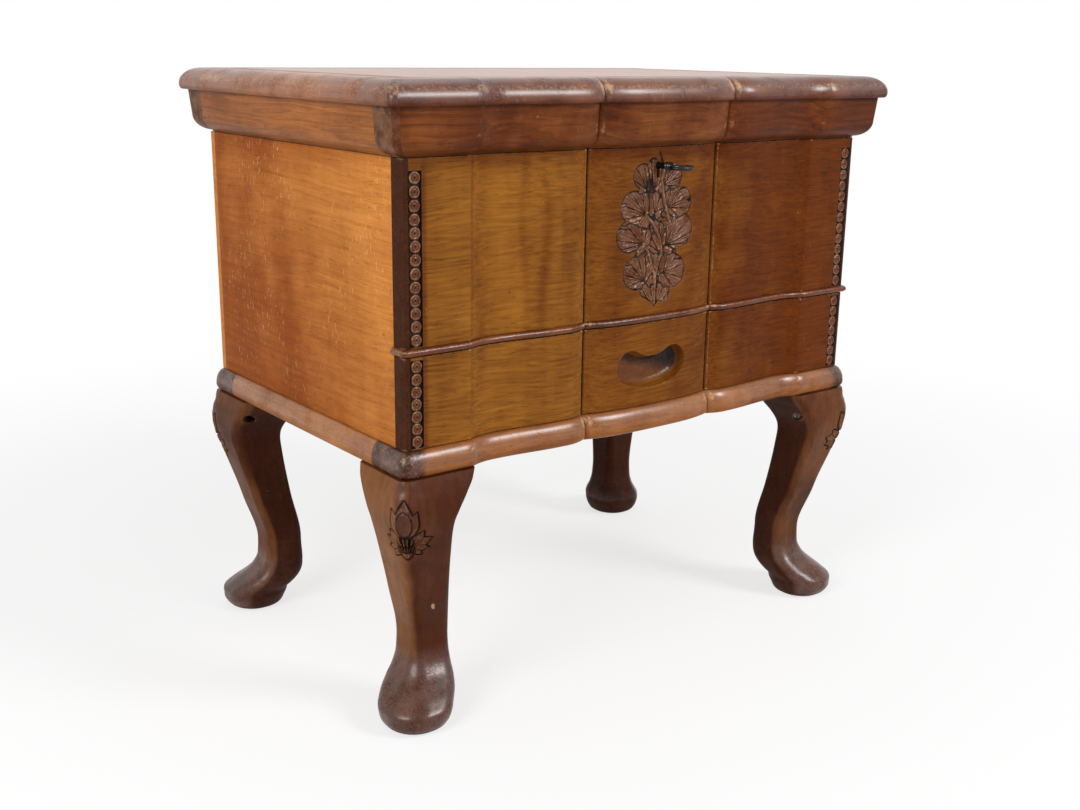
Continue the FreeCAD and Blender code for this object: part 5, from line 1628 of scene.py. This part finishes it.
@dataclass
class Leg:
    """A cabriole leg: a rounded square that moves out, in and out again as it goes down.

    A section at height z has its outer faces out(z) beyond the case's corner planes, is
    width(z) wide both ways, and its corners are rounded by share(z) of the width. Between the
    given levels these follow a smooth cubic with monotone slopes. Two slanted screw holes
    start inside it at given heights.
    """

    side: Side
    front: bool
    levels: tuple[tuple[float, float, float, float], ...] = LEG_LEVELS
    leaf: KneeLeaf = field(default_factory=KneeLeaf)
    outer_round: float = 9.5
    chip: tuple[float, float] = (-15.2, 85.4)
    hole_heights: tuple[float, float] = (168.5, 162.5)
    hole_face: float = 38.8
    hole_inset: float = 4.0
    hole_radius: float = 4.0
    hole_stop: float = 17.0
    hole_lead: float = 16.0

    def _curve(self, z: Array, column: int) -> Array:
        """One of the level values at every height, by a monotone cubic through the levels.

        The slope at a level is the weighted harmonic mean of those on both sides, or 0 where
        they differ in sign, and between two levels the cubic has these values and slopes.

        Args:
            z: heights.
            column: place of the value among the level values.

        Returns:
            The values.
        """
        zs, v = np.array(self.levels)[:, (0, column)].T
        h = np.diff(zs)
        d = np.diff(v) / h
        w1, w2 = 2 * h[1:] + h[:-1], h[1:] + 2 * h[:-1]
        with np.errstate(divide="ignore", invalid="ignore"):
            inner = (w1 + w2) / (w1 / d[:-1] + w2 / d[1:])
        m = np.concatenate([d[:1], np.where(d[:-1] * d[1:] > 0, inner, 0.0), d[-1:]])
        k = np.clip(np.searchsorted(zs, z) - 1, 0, len(zs) - 2)
        t = (z - zs[k]) / h[k]
        return ((1 + 2 * t) * (1 - t) ** 2 * v[k] + t * (1 - t) ** 2 * h[k] * m[k]
                + t * t * (3 - 2 * t) * v[k + 1] - t * t * (1 - t) * h[k] * m[k + 1])

    @staticmethod
    def _ring(width: Array, radius: Array, outer: Array, u: Array) -> tuple[Array, Array]:
        """Points of rounded squares by share of their outline, from the outer corner round.

        The square spans 0..width both ways and its outer corner is at (0, 0). The outer
        corner has its own, larger radius. Distance along the outline is measured both ways
        from the middle of the outer corner's arc.

        Args:
            width: one per section.
            radius: corner radius of the other corners.
            outer: corner radius of the outer corner.
            u: signed distance from the outer arris in shares of half the outline.

        Returns:
            Array of sections by points by two, inward along x and inward along y, and half
            of each section's outline.
        """
        w, r, q = width[:, None], radius[:, None], outer[:, None]
        arcs = [q * np.pi / 4, w - q - r, r * np.pi / 2, w - 2 * r, r * np.pi / 4]
        ends = np.cumsum(np.stack(arcs), axis=0)
        s = np.abs(u)[None, :] * ends[-1]
        a = np.pi / 4 + np.clip(s, 0, ends[0]) / q
        b = np.clip(s - ends[1], 0, arcs[2]) / r
        c = np.clip(s - ends[3], 0, arcs[4]) / r
        x = q - q * np.sin(a) + r * (1 - np.cos(b)) + np.clip(s - ends[2], 0, arcs[3]) + r * np.sin(c)
        y = q - q * np.cos(a) + np.clip(s - ends[0], 0, arcs[1]) + r * np.sin(b) - r * (1 - np.cos(c))
        swap = (u < 0)[None, :]
        return np.stack([np.where(swap, y, x), np.where(swap, x, y)], -1), ends[-1]

    def build(self) -> None:
        """Build the leg with its knee leaf and its two screw holes."""
        fine = self.front or self.side is Side.LEFT
        z = spread((0, 0.6), (3, 1.2), (30, 2.0), (60, 3.0), (82, 0.8), (91, 3.0),
                   (126, 0.40 if fine else 0.6), (174, 1.5), (184, 1))
        dense = spread((0, 0.0042 if fine else 0.006), (0.25, 0.02), (1.0, 0.02))
        u = np.concatenate([-dense[::-1], dense[1:-1]])
        out, width, share = (self._curve(z, k) for k in (1, 2, 3))
        radius = share * width
        above = smoothstep(70.0, 110.0, z) * smoothstep(184.0, 176.0, z)
        outer = radius + np.maximum(self.outer_round - radius, 0) * above + 2.0 * smoothstep(150.0, 184.0, z)
        ring, half = self._ring(width, radius, np.minimum(outer, 0.5 * width), u)
        across = u[None, :] * half
        zz = np.broadcast_to(z[:, None], across.shape)
        height, marks = self.leaf.relief(-across, zz)
        along = np.roll(ring, -1, axis=1) - np.roll(ring, 1, axis=1)
        normal = np.stack([along[..., 1], -along[..., 0]], -1)
        normal /= np.maximum(np.linalg.norm(normal, axis=-1, keepdims=True), 1e-9)
        facing = np.sum(normal * (ring - ring.mean(axis=1, keepdims=True)), axis=-1, keepdims=True)
        inward = ring + normal * np.where(facing < 0, -1, 1) * height[..., None] - out[:, None, None]
        grid = self._from_corner(inward[..., 0], inward[..., 1], zz)
        node = "leg_%s_%s" % ("front" if self.front else "back", self.side.name.lower())
        number = 2 * (not self.front) + (self.side is Side.RIGHT)
        leg = make_piece(node + "_turned", grid, capped(*across.shape), Body.CASE,
                         LEG.material(Grain.UPRIGHT, (0.11 * number, 0.07, 0.05)),
                         marks.most(self._leg_marks(across, zz, np.abs(u)[None, :])), [node], 60.0)
        self._bore_screw_holes(leg)

    def _leg_marks(self, across: Array, z: Array, u: Array) -> Marks:
        """Marks of the bare leg: dark and glossy at the foot, painted shade on its inner faces and
        on the faces that get less light, a dark ring near the bottom, one chip at the front left.

        Args:
            across: distance from the arris.
            z: height above the floor.
            u: distance from the arris as a share of half the outline.

        Returns:
            The marks.
        """
        arris, knee_arris = peak(across, 3.0), peak(across, 7.0)
        foot, knee = smoothstep(58.0, 36.0, z), smoothstep(148.0, 166.0, z)
        wear = 0.24 * arris * smoothstep(166.0, 176.0, z) + 0.18 * arris * smoothstep(40.0, 20.0, z)
        if self.front and self.side is Side.LEFT:
            wear = wear + 1.2 * (np.hypot((across - self.chip[0]) / 1.5, (z - self.chip[1]) / 2.3) < 1.0)
        # Painted shade: the inner faces, the front face of each front leg, strongest on the left leg, and all
        # faces of the back legs.
        inner = smoothstep(0.50, 0.60, u) * np.ones_like(across)
        face = 0.6 * np.ones_like(across)
        if self.front:
            face = (1.0 if self.side is Side.LEFT else 0.6) * smoothstep(4.0, -4.0, across)
        # A dark ring near the bottom, and painted shade on the inner faces.
        grime = np.maximum(0.48 * inner, 0.35 * peak(z - 3.5, 1.2))
        stain = np.max([0.8 * foot, 0.75 * knee_arris * knee, face, inner], axis=0)
        gloss = np.maximum(foot * smoothstep(2.0, 8.0, z), 0.08 + 0.6 * knee * knee_arris) * (1 - inner)
        return Marks(wear, grime, stain, np.maximum(0.35 * foot, 0.3 * arris * knee), gloss)

    def _bore_screw_holes(self, leg: bpy.types.Object) -> None:
        """Cut the two slanted counterbores of the leg's screws.

        Args:
            leg: the finished leg.
        """
        for z, along_x in zip(self.hole_heights, (False, True)):
            places = (self.hole_face, self.hole_inset) if along_x else (self.hole_inset, self.hole_face)
            middle = (self.hole_face + self.hole_inset) / 2
            start, end = (Vector(self._from_corner(*place, z)) for place in (places, (middle, middle)))
            along = (end - start).normalized()
            low, high = start - along * self.hole_lead, end - along * self.hole_stop
            size = {"radius": self.hole_radius * MM, "depth": (high - low).length * MM}
            bpy.ops.mesh.primitive_cylinder_add(vertices=28, **size)
            tool = bpy.context.object
            turn = along.to_track_quat("Z", "Y").to_matrix().to_4x4()
            tool.matrix_world = Matrix.Translation((low + high) / 2 * MM) @ turn
            bpy.context.view_layer.update()
            cut = leg.modifiers.new("hole", "BOOLEAN")
            cut.operation, cut.solver, cut.object = "DIFFERENCE", "EXACT", tool
            with bpy.context.temp_override(object=leg, active_object=leg, selected_objects=[leg]):
                bpy.ops.object.modifier_apply(modifier=cut.name)
            bpy.data.objects.remove(tool)
        while len(leg.data.materials) > 1:
            leg.data.materials.pop()

    def _from_corner(self, x: Array, y: Array, z: Array) -> Array:
        """Points measured inwards from the leg's corner of the case.

        Args:
            x, y: distances inwards from the corner's two planes.
            z: height above the floor.

        Returns:
            The points.
        """
        y = SIZES.front + y if self.front else SIZES.back - y
        return np.stack([self.side.value * (SIZES.half_width - x), y, z], -1)


# Key


@dataclass
class Key:
    """The black key: a barrel with two collars, a bit, and an oval bow that lies level.

    The barrel's outline holds points, each how far it lies behind the bow's back edge and how
    much thicker or thinner it is there than the barrel.
    """

    reach: float = 30.0
    bow_length: float = 16.6
    bow_width: float = 19.6
    barrel: float = 2.25
    bore: float = 1.2
    bore_depth: float = 11.0
    stock: float = 1.45
    collars: tuple[tuple[float, float], ...] = (
        (7.0, 0.0), (6.4, 0.5), (5.4, 0.8), (4.4, 0.4), (4.0, 0.0), (3.4, 0.6), (2.6, 1.0), (1.8, 0.6),
        (1.3, 0.0), (-0.2, -0.5), (-1.2, -1.35), (-1.4, -2.23),
    )
    bit: tuple[tuple[float, float], ...] = (
        (-2.0, 0), (-8.3, 0), (-8.3, 1.5), (-6.6, 1.5), (-6.6, 2.6), (-8.3, 2.6), (-8.3, 4.4), (-2.0, 4.4),
    )
    bit_half: float = 1.2
    bit_behind: float = 7.2
    sides: int = 40
    bow_sides: int = 20
    finish: MetalFinish = KEY_IRON

    def build(self) -> None:
        """Build the barrel, the bow and the bit."""
        surface = SIZES.front - LINE.rise
        self._barrel(surface - self.reach + self.bow_length)
        self._bow(surface - self.reach + self.bow_length / 2)
        self._bit()

    def _make(
        self, tail: str, points: Array, faces: Sequence[Sequence[int]], sharp: float
    ) -> bpy.types.Object:
        """One of the key's pieces."""
        return make_piece("key_" + tail, points, faces, Body.KEY, self.finish.material(),
                          None, ["key"], sharp)

    def _barrel(self, start: float) -> None:
        """Barrel bored at its end: its outline, radius over depth, turned round the key's axis.

        Args:
            start: y of the bow's back edge.
        """
        inner = SIZES.front + SIZES.board - 0.4
        bored = [(inner - self.bore_depth, 0.02), (inner - self.bore_depth, self.bore), (inner, self.bore),
                 (inner, self.barrel - 0.3), (inner - 0.3, self.barrel)]
        y, radius = np.array([*bored, *((start + at, self.barrel + more) for at, more in self.collars)]).T
        angle = np.linspace(0, 2 * np.pi, self.sides, endpoint=False)
        x, z = radius[:, None] * np.cos(angle), SIZES.key_z + radius[:, None] * np.sin(angle)
        grid = np.stack([x, np.broadcast_to(y[:, None], x.shape), z], -1)
        self._make("barrel", grid, capped(*x.shape), 35.0)

    def _bow(self, middle: float) -> None:
        """Oval ring whose stock swells away from the barrel.

        The middle line at turn t is (half width * sin t, middle - half length * cos t), the
        stock's radius is 1.25 + 0.2 cos t, and its section is square to the line.

        Args:
            middle: y of the bow's middle.
        """
        t = np.linspace(0, 2 * np.pi, 97)[:-1]
        half_x, half_y = self.bow_width / 2 - self.stock, self.bow_length / 2 - self.stock
        path = np.stack([half_x * np.sin(t), middle - half_y * np.cos(t), np.full_like(t, SIZES.key_z)], -1)
        along = np.roll(path, -1, axis=0) - np.roll(path, 1, axis=0)
        across = np.cross(along, (0.0, 0.0, 1.0))
        across /= np.linalg.norm(across, axis=1, keepdims=True)
        angle = np.linspace(0, 2 * np.pi, self.bow_sides, endpoint=False)[:, None]
        section = np.cos(angle) * across[:, None] + np.sin(angle) * np.array([0.0, 0.0, 1.0])
        rings = path[:, None] + section * (1.25 + 0.2 * np.cos(t))[:, None, None]
        faces = grid_faces(len(t) + 1, self.bow_sides, True) % (len(t) * self.bow_sides)
        self._make("bow", rings, faces, 60.0)

    def _bit(self) -> None:
        """The bit that lifts the bolt, with one notch, its edges eased by a bevel."""
        flat = np.array(self.bit) + (0, SIZES.front + self.bit_behind)
        grid = np.stack([np.column_stack([flat, np.full(len(flat), SIZES.key_z + h)])
                         for h in (-self.bit_half, self.bit_half)])
        bit = self._make("bit", grid, capped(2, len(flat)), 30.0)
        bevel = bit.modifiers.new("eased edges", "BEVEL")
        bevel.width, bevel.segments = 0.25 * MM, 2
        bevel.limit_method, bevel.angle_limit = "ANGLE", math.radians(35)


# Plain boards and small parts


@dataclass
class PlainBoard:
    """A flat board in place of a CAD one with the same corners, its edges eased.

    Its faces are grids, and rubbing falls off with the distance from the nearest edge.
    """

    node: str
    body: Body
    finish: WoodFinish
    grain: Grain
    wear: float
    shift: Triple
    ease: float = 0.5
    step: float = 6.0
    # Painted shade over the board, from its y and z.
    shade: Optional[Callable[[Array, Array], Array]] = None
    gloss: float = 0.0

    def build(self) -> None:
        """Build the board from its node's box.

        A box's grid is kept where it lies on the surface, and each point within the easing of
        an edge moves to the round over it.
        """
        low, high = (np.array(c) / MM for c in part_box(self.node))
        size, ease = high - low, self.ease
        cube = np.stack(np.meshgrid(*(self._ticks(length) for length in size), indexing="ij"), -1)
        index = np.arange(cube[..., 0].size).reshape(cube.shape[:3])
        layers = [np.take(index, end, axis=axis) for axis in range(3) for end in (0, -1)]
        quads = [np.stack([a[:-1, :-1], a[1:, :-1], a[1:, 1:], a[:-1, 1:]], -1).reshape(-1, 4)
                 for a in layers]
        used, faces = np.unique(np.concatenate(quads), return_inverse=True)
        points = cube.reshape(-1, 3)[used]
        inner = np.clip(points, ease, size - ease)
        length = np.maximum(np.linalg.norm(points - inner, axis=1, keepdims=True), 1e-9)
        eased = low + inner + (points - inner) / length * np.minimum(length, ease)
        near = np.sort(np.minimum(points, size - points), axis=1)[:, 1]
        none = 0 * near
        stain = self.shade(*(low + points)[:, 1:].T) if self.shade else none
        marks = Marks(self.wear * peak(near, 1.3), none, stain, none, none + self.gloss)
        make_piece(self.node + "_board", eased, faces.reshape(-1, 4), self.body,
                   self.finish.material(self.grain, self.shift), marks, [self.node], 30.0)

    def _ticks(self, size: float) -> Array:
        """Positions along one edge, with two close to each end for the eased corner.

        Args:
            size: the edge's length.

        Returns:
            Sorted positions from 0 to the length.
        """
        e, count = self.ease, max(2, math.ceil(size / self.step))
        return np.concatenate([[0, 0.3 * e], np.linspace(e, size - e, count), [size - 0.3 * e, size]])


def panel_painted_shade(y: Array, z: Array) -> Array:
    """Painted shade on the side panels: darker towards the back and low down, where less light
    falls, dark along the front edge, and a painted shadow under the lid.

    Args:
        y, z: the points.

    Returns:
        The shade, 0 to 1.
    """
    back = 0.78 * smoothstep(-118.0, 110.0, y) + 0.42 * smoothstep(335.0, 215.0, z)
    return np.clip(back + 0.3 * peak(z - 389.0, 9.0) + 0.35 * peak(y + 131.0, 3.5), 0.0, 1.0)


@dataclass
class CarriedOver:
    """CAD nodes that keep their shape and get a finish: plain boards, brass, iron and steel."""

    plain: str = (
        "box_floor base_panel leg_dowels drawer_side_left drawer_side_right drawer_back drawer_bottom "
        "tray_ledge_left tray_ledge_right tray_front tray_back tray_left tray_right tray_bottom "
        "tray_handle_board tray_divider_1 tray_divider_2 tray_divider_3 tray_divider_4"
    )
    deep: tuple[str, ...] = ("_left", "_right", "_1", "_2", "_3", "_4")
    metal: tuple[tuple[MetalFinish, str], ...] = (
        (BRASS, "hinge_left_case_leaf hinge_left_lid_leaf hinge_left_pin"),
        (BRASS, "hinge_right_case_leaf hinge_right_lid_leaf hinge_right_pin"),
        (LOCK_BRASS, "lock_case lock_strike_plate lock_bolt"),
        (LOCK_IRON, "lock_back_plate"),
        (STEEL, "leg_screws lock_screws strike_screws hinge_case_screws hinge_lid_screws"),
    )

    def build(self) -> None:
        """Give each node its material; each plain board is cut from its own place of the pattern."""
        self._dress("back_panel", PANEL.material(Grain.ACROSS, (0.7, 0.1, 0.3)))
        for number, node in enumerate(self.plain.split(), 1):
            grain = Grain.DEEP if node.endswith(self.deep) else Grain.ACROSS
            if node == "leg_dowels":
                grain = Grain.UPRIGHT
            self._dress(node, PLAIN.material(grain, (0.13 * number, 0.05 * number, 0.0)))
        for finish, nodes in self.metal:
            for node in nodes.split():
                self._dress(node, finish.material())

    @staticmethod
    def _dress(node: str, material: bpy.types.Material) -> None:
        """Give a node its material.

        Args:
            node: the node's name.
            material: the finish.
        """
        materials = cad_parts[node].data.materials
        materials.clear()
        materials.append(material)
        log.info("%s: carried over with %s", node, material.name)


# Sub-assemblies


@dataclass
class Lid:
    """The lid: its rim, the cornice under it and its panel, sizes in millimetres."""

    rim_out: float = 17.8
    rim_width: float = 42.0
    lap: float = 8.0

    def build(self) -> None:
        """Build the rim, the cornice and the panel."""
        low, top, out = SIZES.rim_low, SIZES.lid_top, self.rim_out
        section = tucked_nose(low, top, out, 1.6, 0.15, 13.5, 11.9, (6, 16))
        inner = out - self.rim_width
        # The rim's rubbing peaks high on its nose, partly real wear and partly a painted highlight; its
        # front, like the cornice's and the rail's, is darkened by painted shade.
        Moulding(
            "rim", "lid_rim_{}", Body.LID, RIM, section, 0.06 + 0.38 * peak(section[:, 1] - top + 6.0, 4.5),
            0.15 + 0.85 * smoothstep(low + 1.0, low + 4.5, section[:, 1]),
            SIZES.front - inner, SIZES.back + inner, inner, end=0.3, shade=0.75, lap=self.lap,
        ).build()
        low = SIZES.lid_low
        section = ovolo(low + 0.06, SIZES.rim_low, 12.6)
        Moulding(
            "cornice", "lid_cornice_{}", Body.LID, MOULDING, section,
            0.05 + 0.2 * peak(section[:, 1] - low - 12.5, 1.6), np.full(len(section), 0.08),
            SIZES.front + SIZES.board, SIZES.back - SIZES.back_board, -SIZES.side_board, 4.0,
            end=0.8, shade=0.72,
        ).build()
        PlainBoard("lid_panel", Body.LID, RIM, Grain.ACROSS, 0.3, (0.3, 0.2, 0.1), 0.6, gloss=2.0).build()


@dataclass
class Case:
    """The case: its front board, side panels, rail, base and legs, sizes in millimetres."""

    leaves: LeafPanel = field(default_factory=LeafPanel)
    beads: BeadStrip = field(default_factory=BeadStrip)
    keyhole: Keyhole = field(default_factory=Keyhole)
    base_out: float = 5.9
    base_inner: float = -52.0
    base_lap: float = 6.0
    base_sunk: float = 5.0
    rail_out: float = 2.8

    def build(self) -> None:
        """Build the case's pieces from the front to the legs."""
        back = SIZES.front + SIZES.board
        FrontBoard(
            "upper_front", "upper_front_board", Body.CASE, SIZES.floor_top, SIZES.case_top, back,
            (-40, 38, 0.40), 0.45, (self.leaves, self.beads), self.keyhole,
        ).build()
        for node, shift in (("side_panel_left", (0.1, 0.3, 0.0)), ("side_panel_right", (0.5, 0.2, 0.1))):
            PlainBoard(node, Body.CASE, PANEL, Grain.DEEP, 0.4, shift, shade=panel_painted_shade).build()
        section = half_round(SIZES.floor_low, SIZES.floor_top, self.rail_out)
        Moulding(
            "rail", "divider_rail", Body.CASE, MOULDING, section,
            0.08 + 0.42 * peak(section[:, 1] - 268.2, 0.8), np.full(len(section), 0.6), back,
            round=2.5, end=0.4, shade=0.85,
        ).front_board()
        low, top = SIZES.base_low, SIZES.base_top
        section = tucked_nose(low, top, self.base_out, 3.4, 0.2, self.base_out, 12.5, (7, 14))
        Moulding(
            "base", "base_moulding_{}", Body.CASE, BASE, section,
            0.08 + 0.28 * peak(section[:, 1] - top + 4.0, 3.5),
            0.1 + 0.9 * smoothstep(low + 4.0, low + 9.0, section[:, 1]),
            SIZES.front + 34.0, SIZES.back - 28.0, self.base_inner, 5.5,
            end=0.95, block=11.0, lap=self.base_lap, sunk=self.base_sunk,
        ).build()
        for side in Side:
            for front in (True, False):
                Leg(side, front).build()


@dataclass
class Drawer:
    """The drawer's carved front; the box behind it is carried over."""

    recess: FingerRecess = field(default_factory=FingerRecess)
    beads: BeadStrip = field(default_factory=lambda: BeadStrip(top=261.4, low=203.4, count=7))
    gap_below: float = 0.4
    gap_above: float = 0.8
    thick: float = 12.6

    def build(self) -> None:
        """Build the drawer front in three stretches."""
        FrontBoard(
            "drawer_front", "drawer_front", Body.DRAWER, SIZES.base_top + self.gap_below,
            SIZES.floor_low - self.gap_above, SIZES.front + self.thick, (-36, 36, 0.5), 0.6,
            (self.recess, self.beads),
        ).build()


# Studio


@dataclass
class Studio:
    """Pale floor, soft lights and the camera at the photograph's place, in metres and degrees.

    Each lamp has its name, its place, the point that it faces, its two sides and its power
    in watts.
    """

    camera_place: Triple = (-0.62762, -0.81030, 0.45580)
    camera_turn: Triple = (74.4472, -0.8302, -37.5426)
    lens: float = 43.168
    world_strength: float = 0.23
    floor_half: float = 9.0
    lamps: tuple[tuple[str, Triple, Triple, tuple[float, float], float], ...] = (
        ("side softbox", (-1.35, -0.50, 0.95), (-0.05, 0.0, 0.25), (0.7, 0.7), 14.5),
        ("front window", (0.85, -1.60, 1.25), (0.0, 0.0, 0.30), (0.65, 0.6), 28.0),
        ("top softbox", (0.1, 0.5, 2.1), (0.0, 0.0, 0.2), (1.6, 1.2), 9.0),
    )

    def build(self) -> None:
        """Set up the floor, the world, the lamps, the camera and the view transform."""
        self._floor()
        self._world()
        for lamp in self.lamps:
            self._lamp(*lamp)
        camera = bpy.data.cameras.new("camera")
        camera.lens, camera.sensor_width, camera.sensor_fit = self.lens, 36.0, "HORIZONTAL"
        camera.clip_start, camera.clip_end = 0.01, 50.0
        obj = bpy.data.objects.new("camera", camera)
        obj.location = self.camera_place
        obj.rotation_euler = [math.radians(a) for a in self.camera_turn]
        bpy.context.scene.collection.objects.link(obj)
        bpy.context.scene.camera = obj
        bpy.context.scene.view_settings.view_transform = "Standard"

    def _floor(self) -> None:
        """A wide pale floor whose colour meets the white background, keeping the box's shadow."""
        mesh = bpy.data.meshes.new("floor")
        half = self.floor_half
        corners = [(-half, -half, 0), (half, -half, 0), (half, half, 0), (-half, half, 0)]
        mesh.from_pydata(corners, [], [[0, 1, 2, 3]])
        floor = bpy.data.objects.new("floor", mesh)
        bpy.context.scene.collection.objects.link(floor)
        material, n = new_material("pale floor")
        soft = n.add("ShaderNodeBsdfDiffuse", {"Color": (0.93, 0.93, 0.93, 1)})
        white = n.add("ShaderNodeEmission", {"Color": (1, 1, 1, 1), "Strength": 1.0})
        reach = n.add("ShaderNodeVectorMath", {0: n.place()}, operation="LENGTH").outputs["Value"]
        share = n.plus(n.times(n.ramp(reach, 0.3, 1.1), 0.29), 0.71)
        inputs = {0: n.times(n.seen(), share), 1: soft.outputs[0], 2: white.outputs[0]}
        n.add("ShaderNodeOutputMaterial", {0: n.add("ShaderNodeMixShader", inputs).outputs[0]})
        mesh.materials.append(material)

    def _world(self) -> None:
        """Even pale light from all round, and white where the camera, metal or glass sees past the floor."""
        world = bpy.data.worlds.new("studio")
        bpy.context.scene.world = world
        world.use_nodes = True
        world.node_tree.nodes.clear()
        n = Nodes(world.node_tree)
        inputs = {"Value": n.seen(), "To Min": self.world_strength, "To Max": 1.0}
        strength = n.add("ShaderNodeMapRange", inputs).outputs[0]
        light = n.add("ShaderNodeBackground", {"Color": (1.0, 1.0, 1.0, 1), "Strength": strength})
        n.add("ShaderNodeOutputWorld", {0: light.outputs[0]})

    @staticmethod
    def _lamp(name: str, place: Triple, target: Triple, size: tuple[float, float], power: float) -> None:
        """A rectangular softbox that faces a target.

        Args:
            name: the lamp's name.
            place: its place in metres.
            target: the point that it faces.
            size: its two sides in metres.
            power: in watts.
        """
        light = bpy.data.lights.new(name, "AREA")
        light.shape, light.size, light.size_y, light.energy = "RECTANGLE", *size, power
        obj = bpy.data.objects.new(name, light)
        obj.location = place
        obj.rotation_euler = (Vector(target) - Vector(place)).to_track_quat("-Z", "Y").to_euler()
        bpy.context.scene.collection.objects.link(obj)


def main() -> None:
    """Build the finishes, the sub-assemblies and the studio."""
    logging.basicConfig(level=logging.INFO, format="%(message)s")
    grain_group()
    age_group()
    for part in (Lid(), Case(), Drawer(), Key(), CarriedOver(), Studio()):
        part.build()
    bpy.context.view_layer.update()


if __name__ == "__main__":
    main()
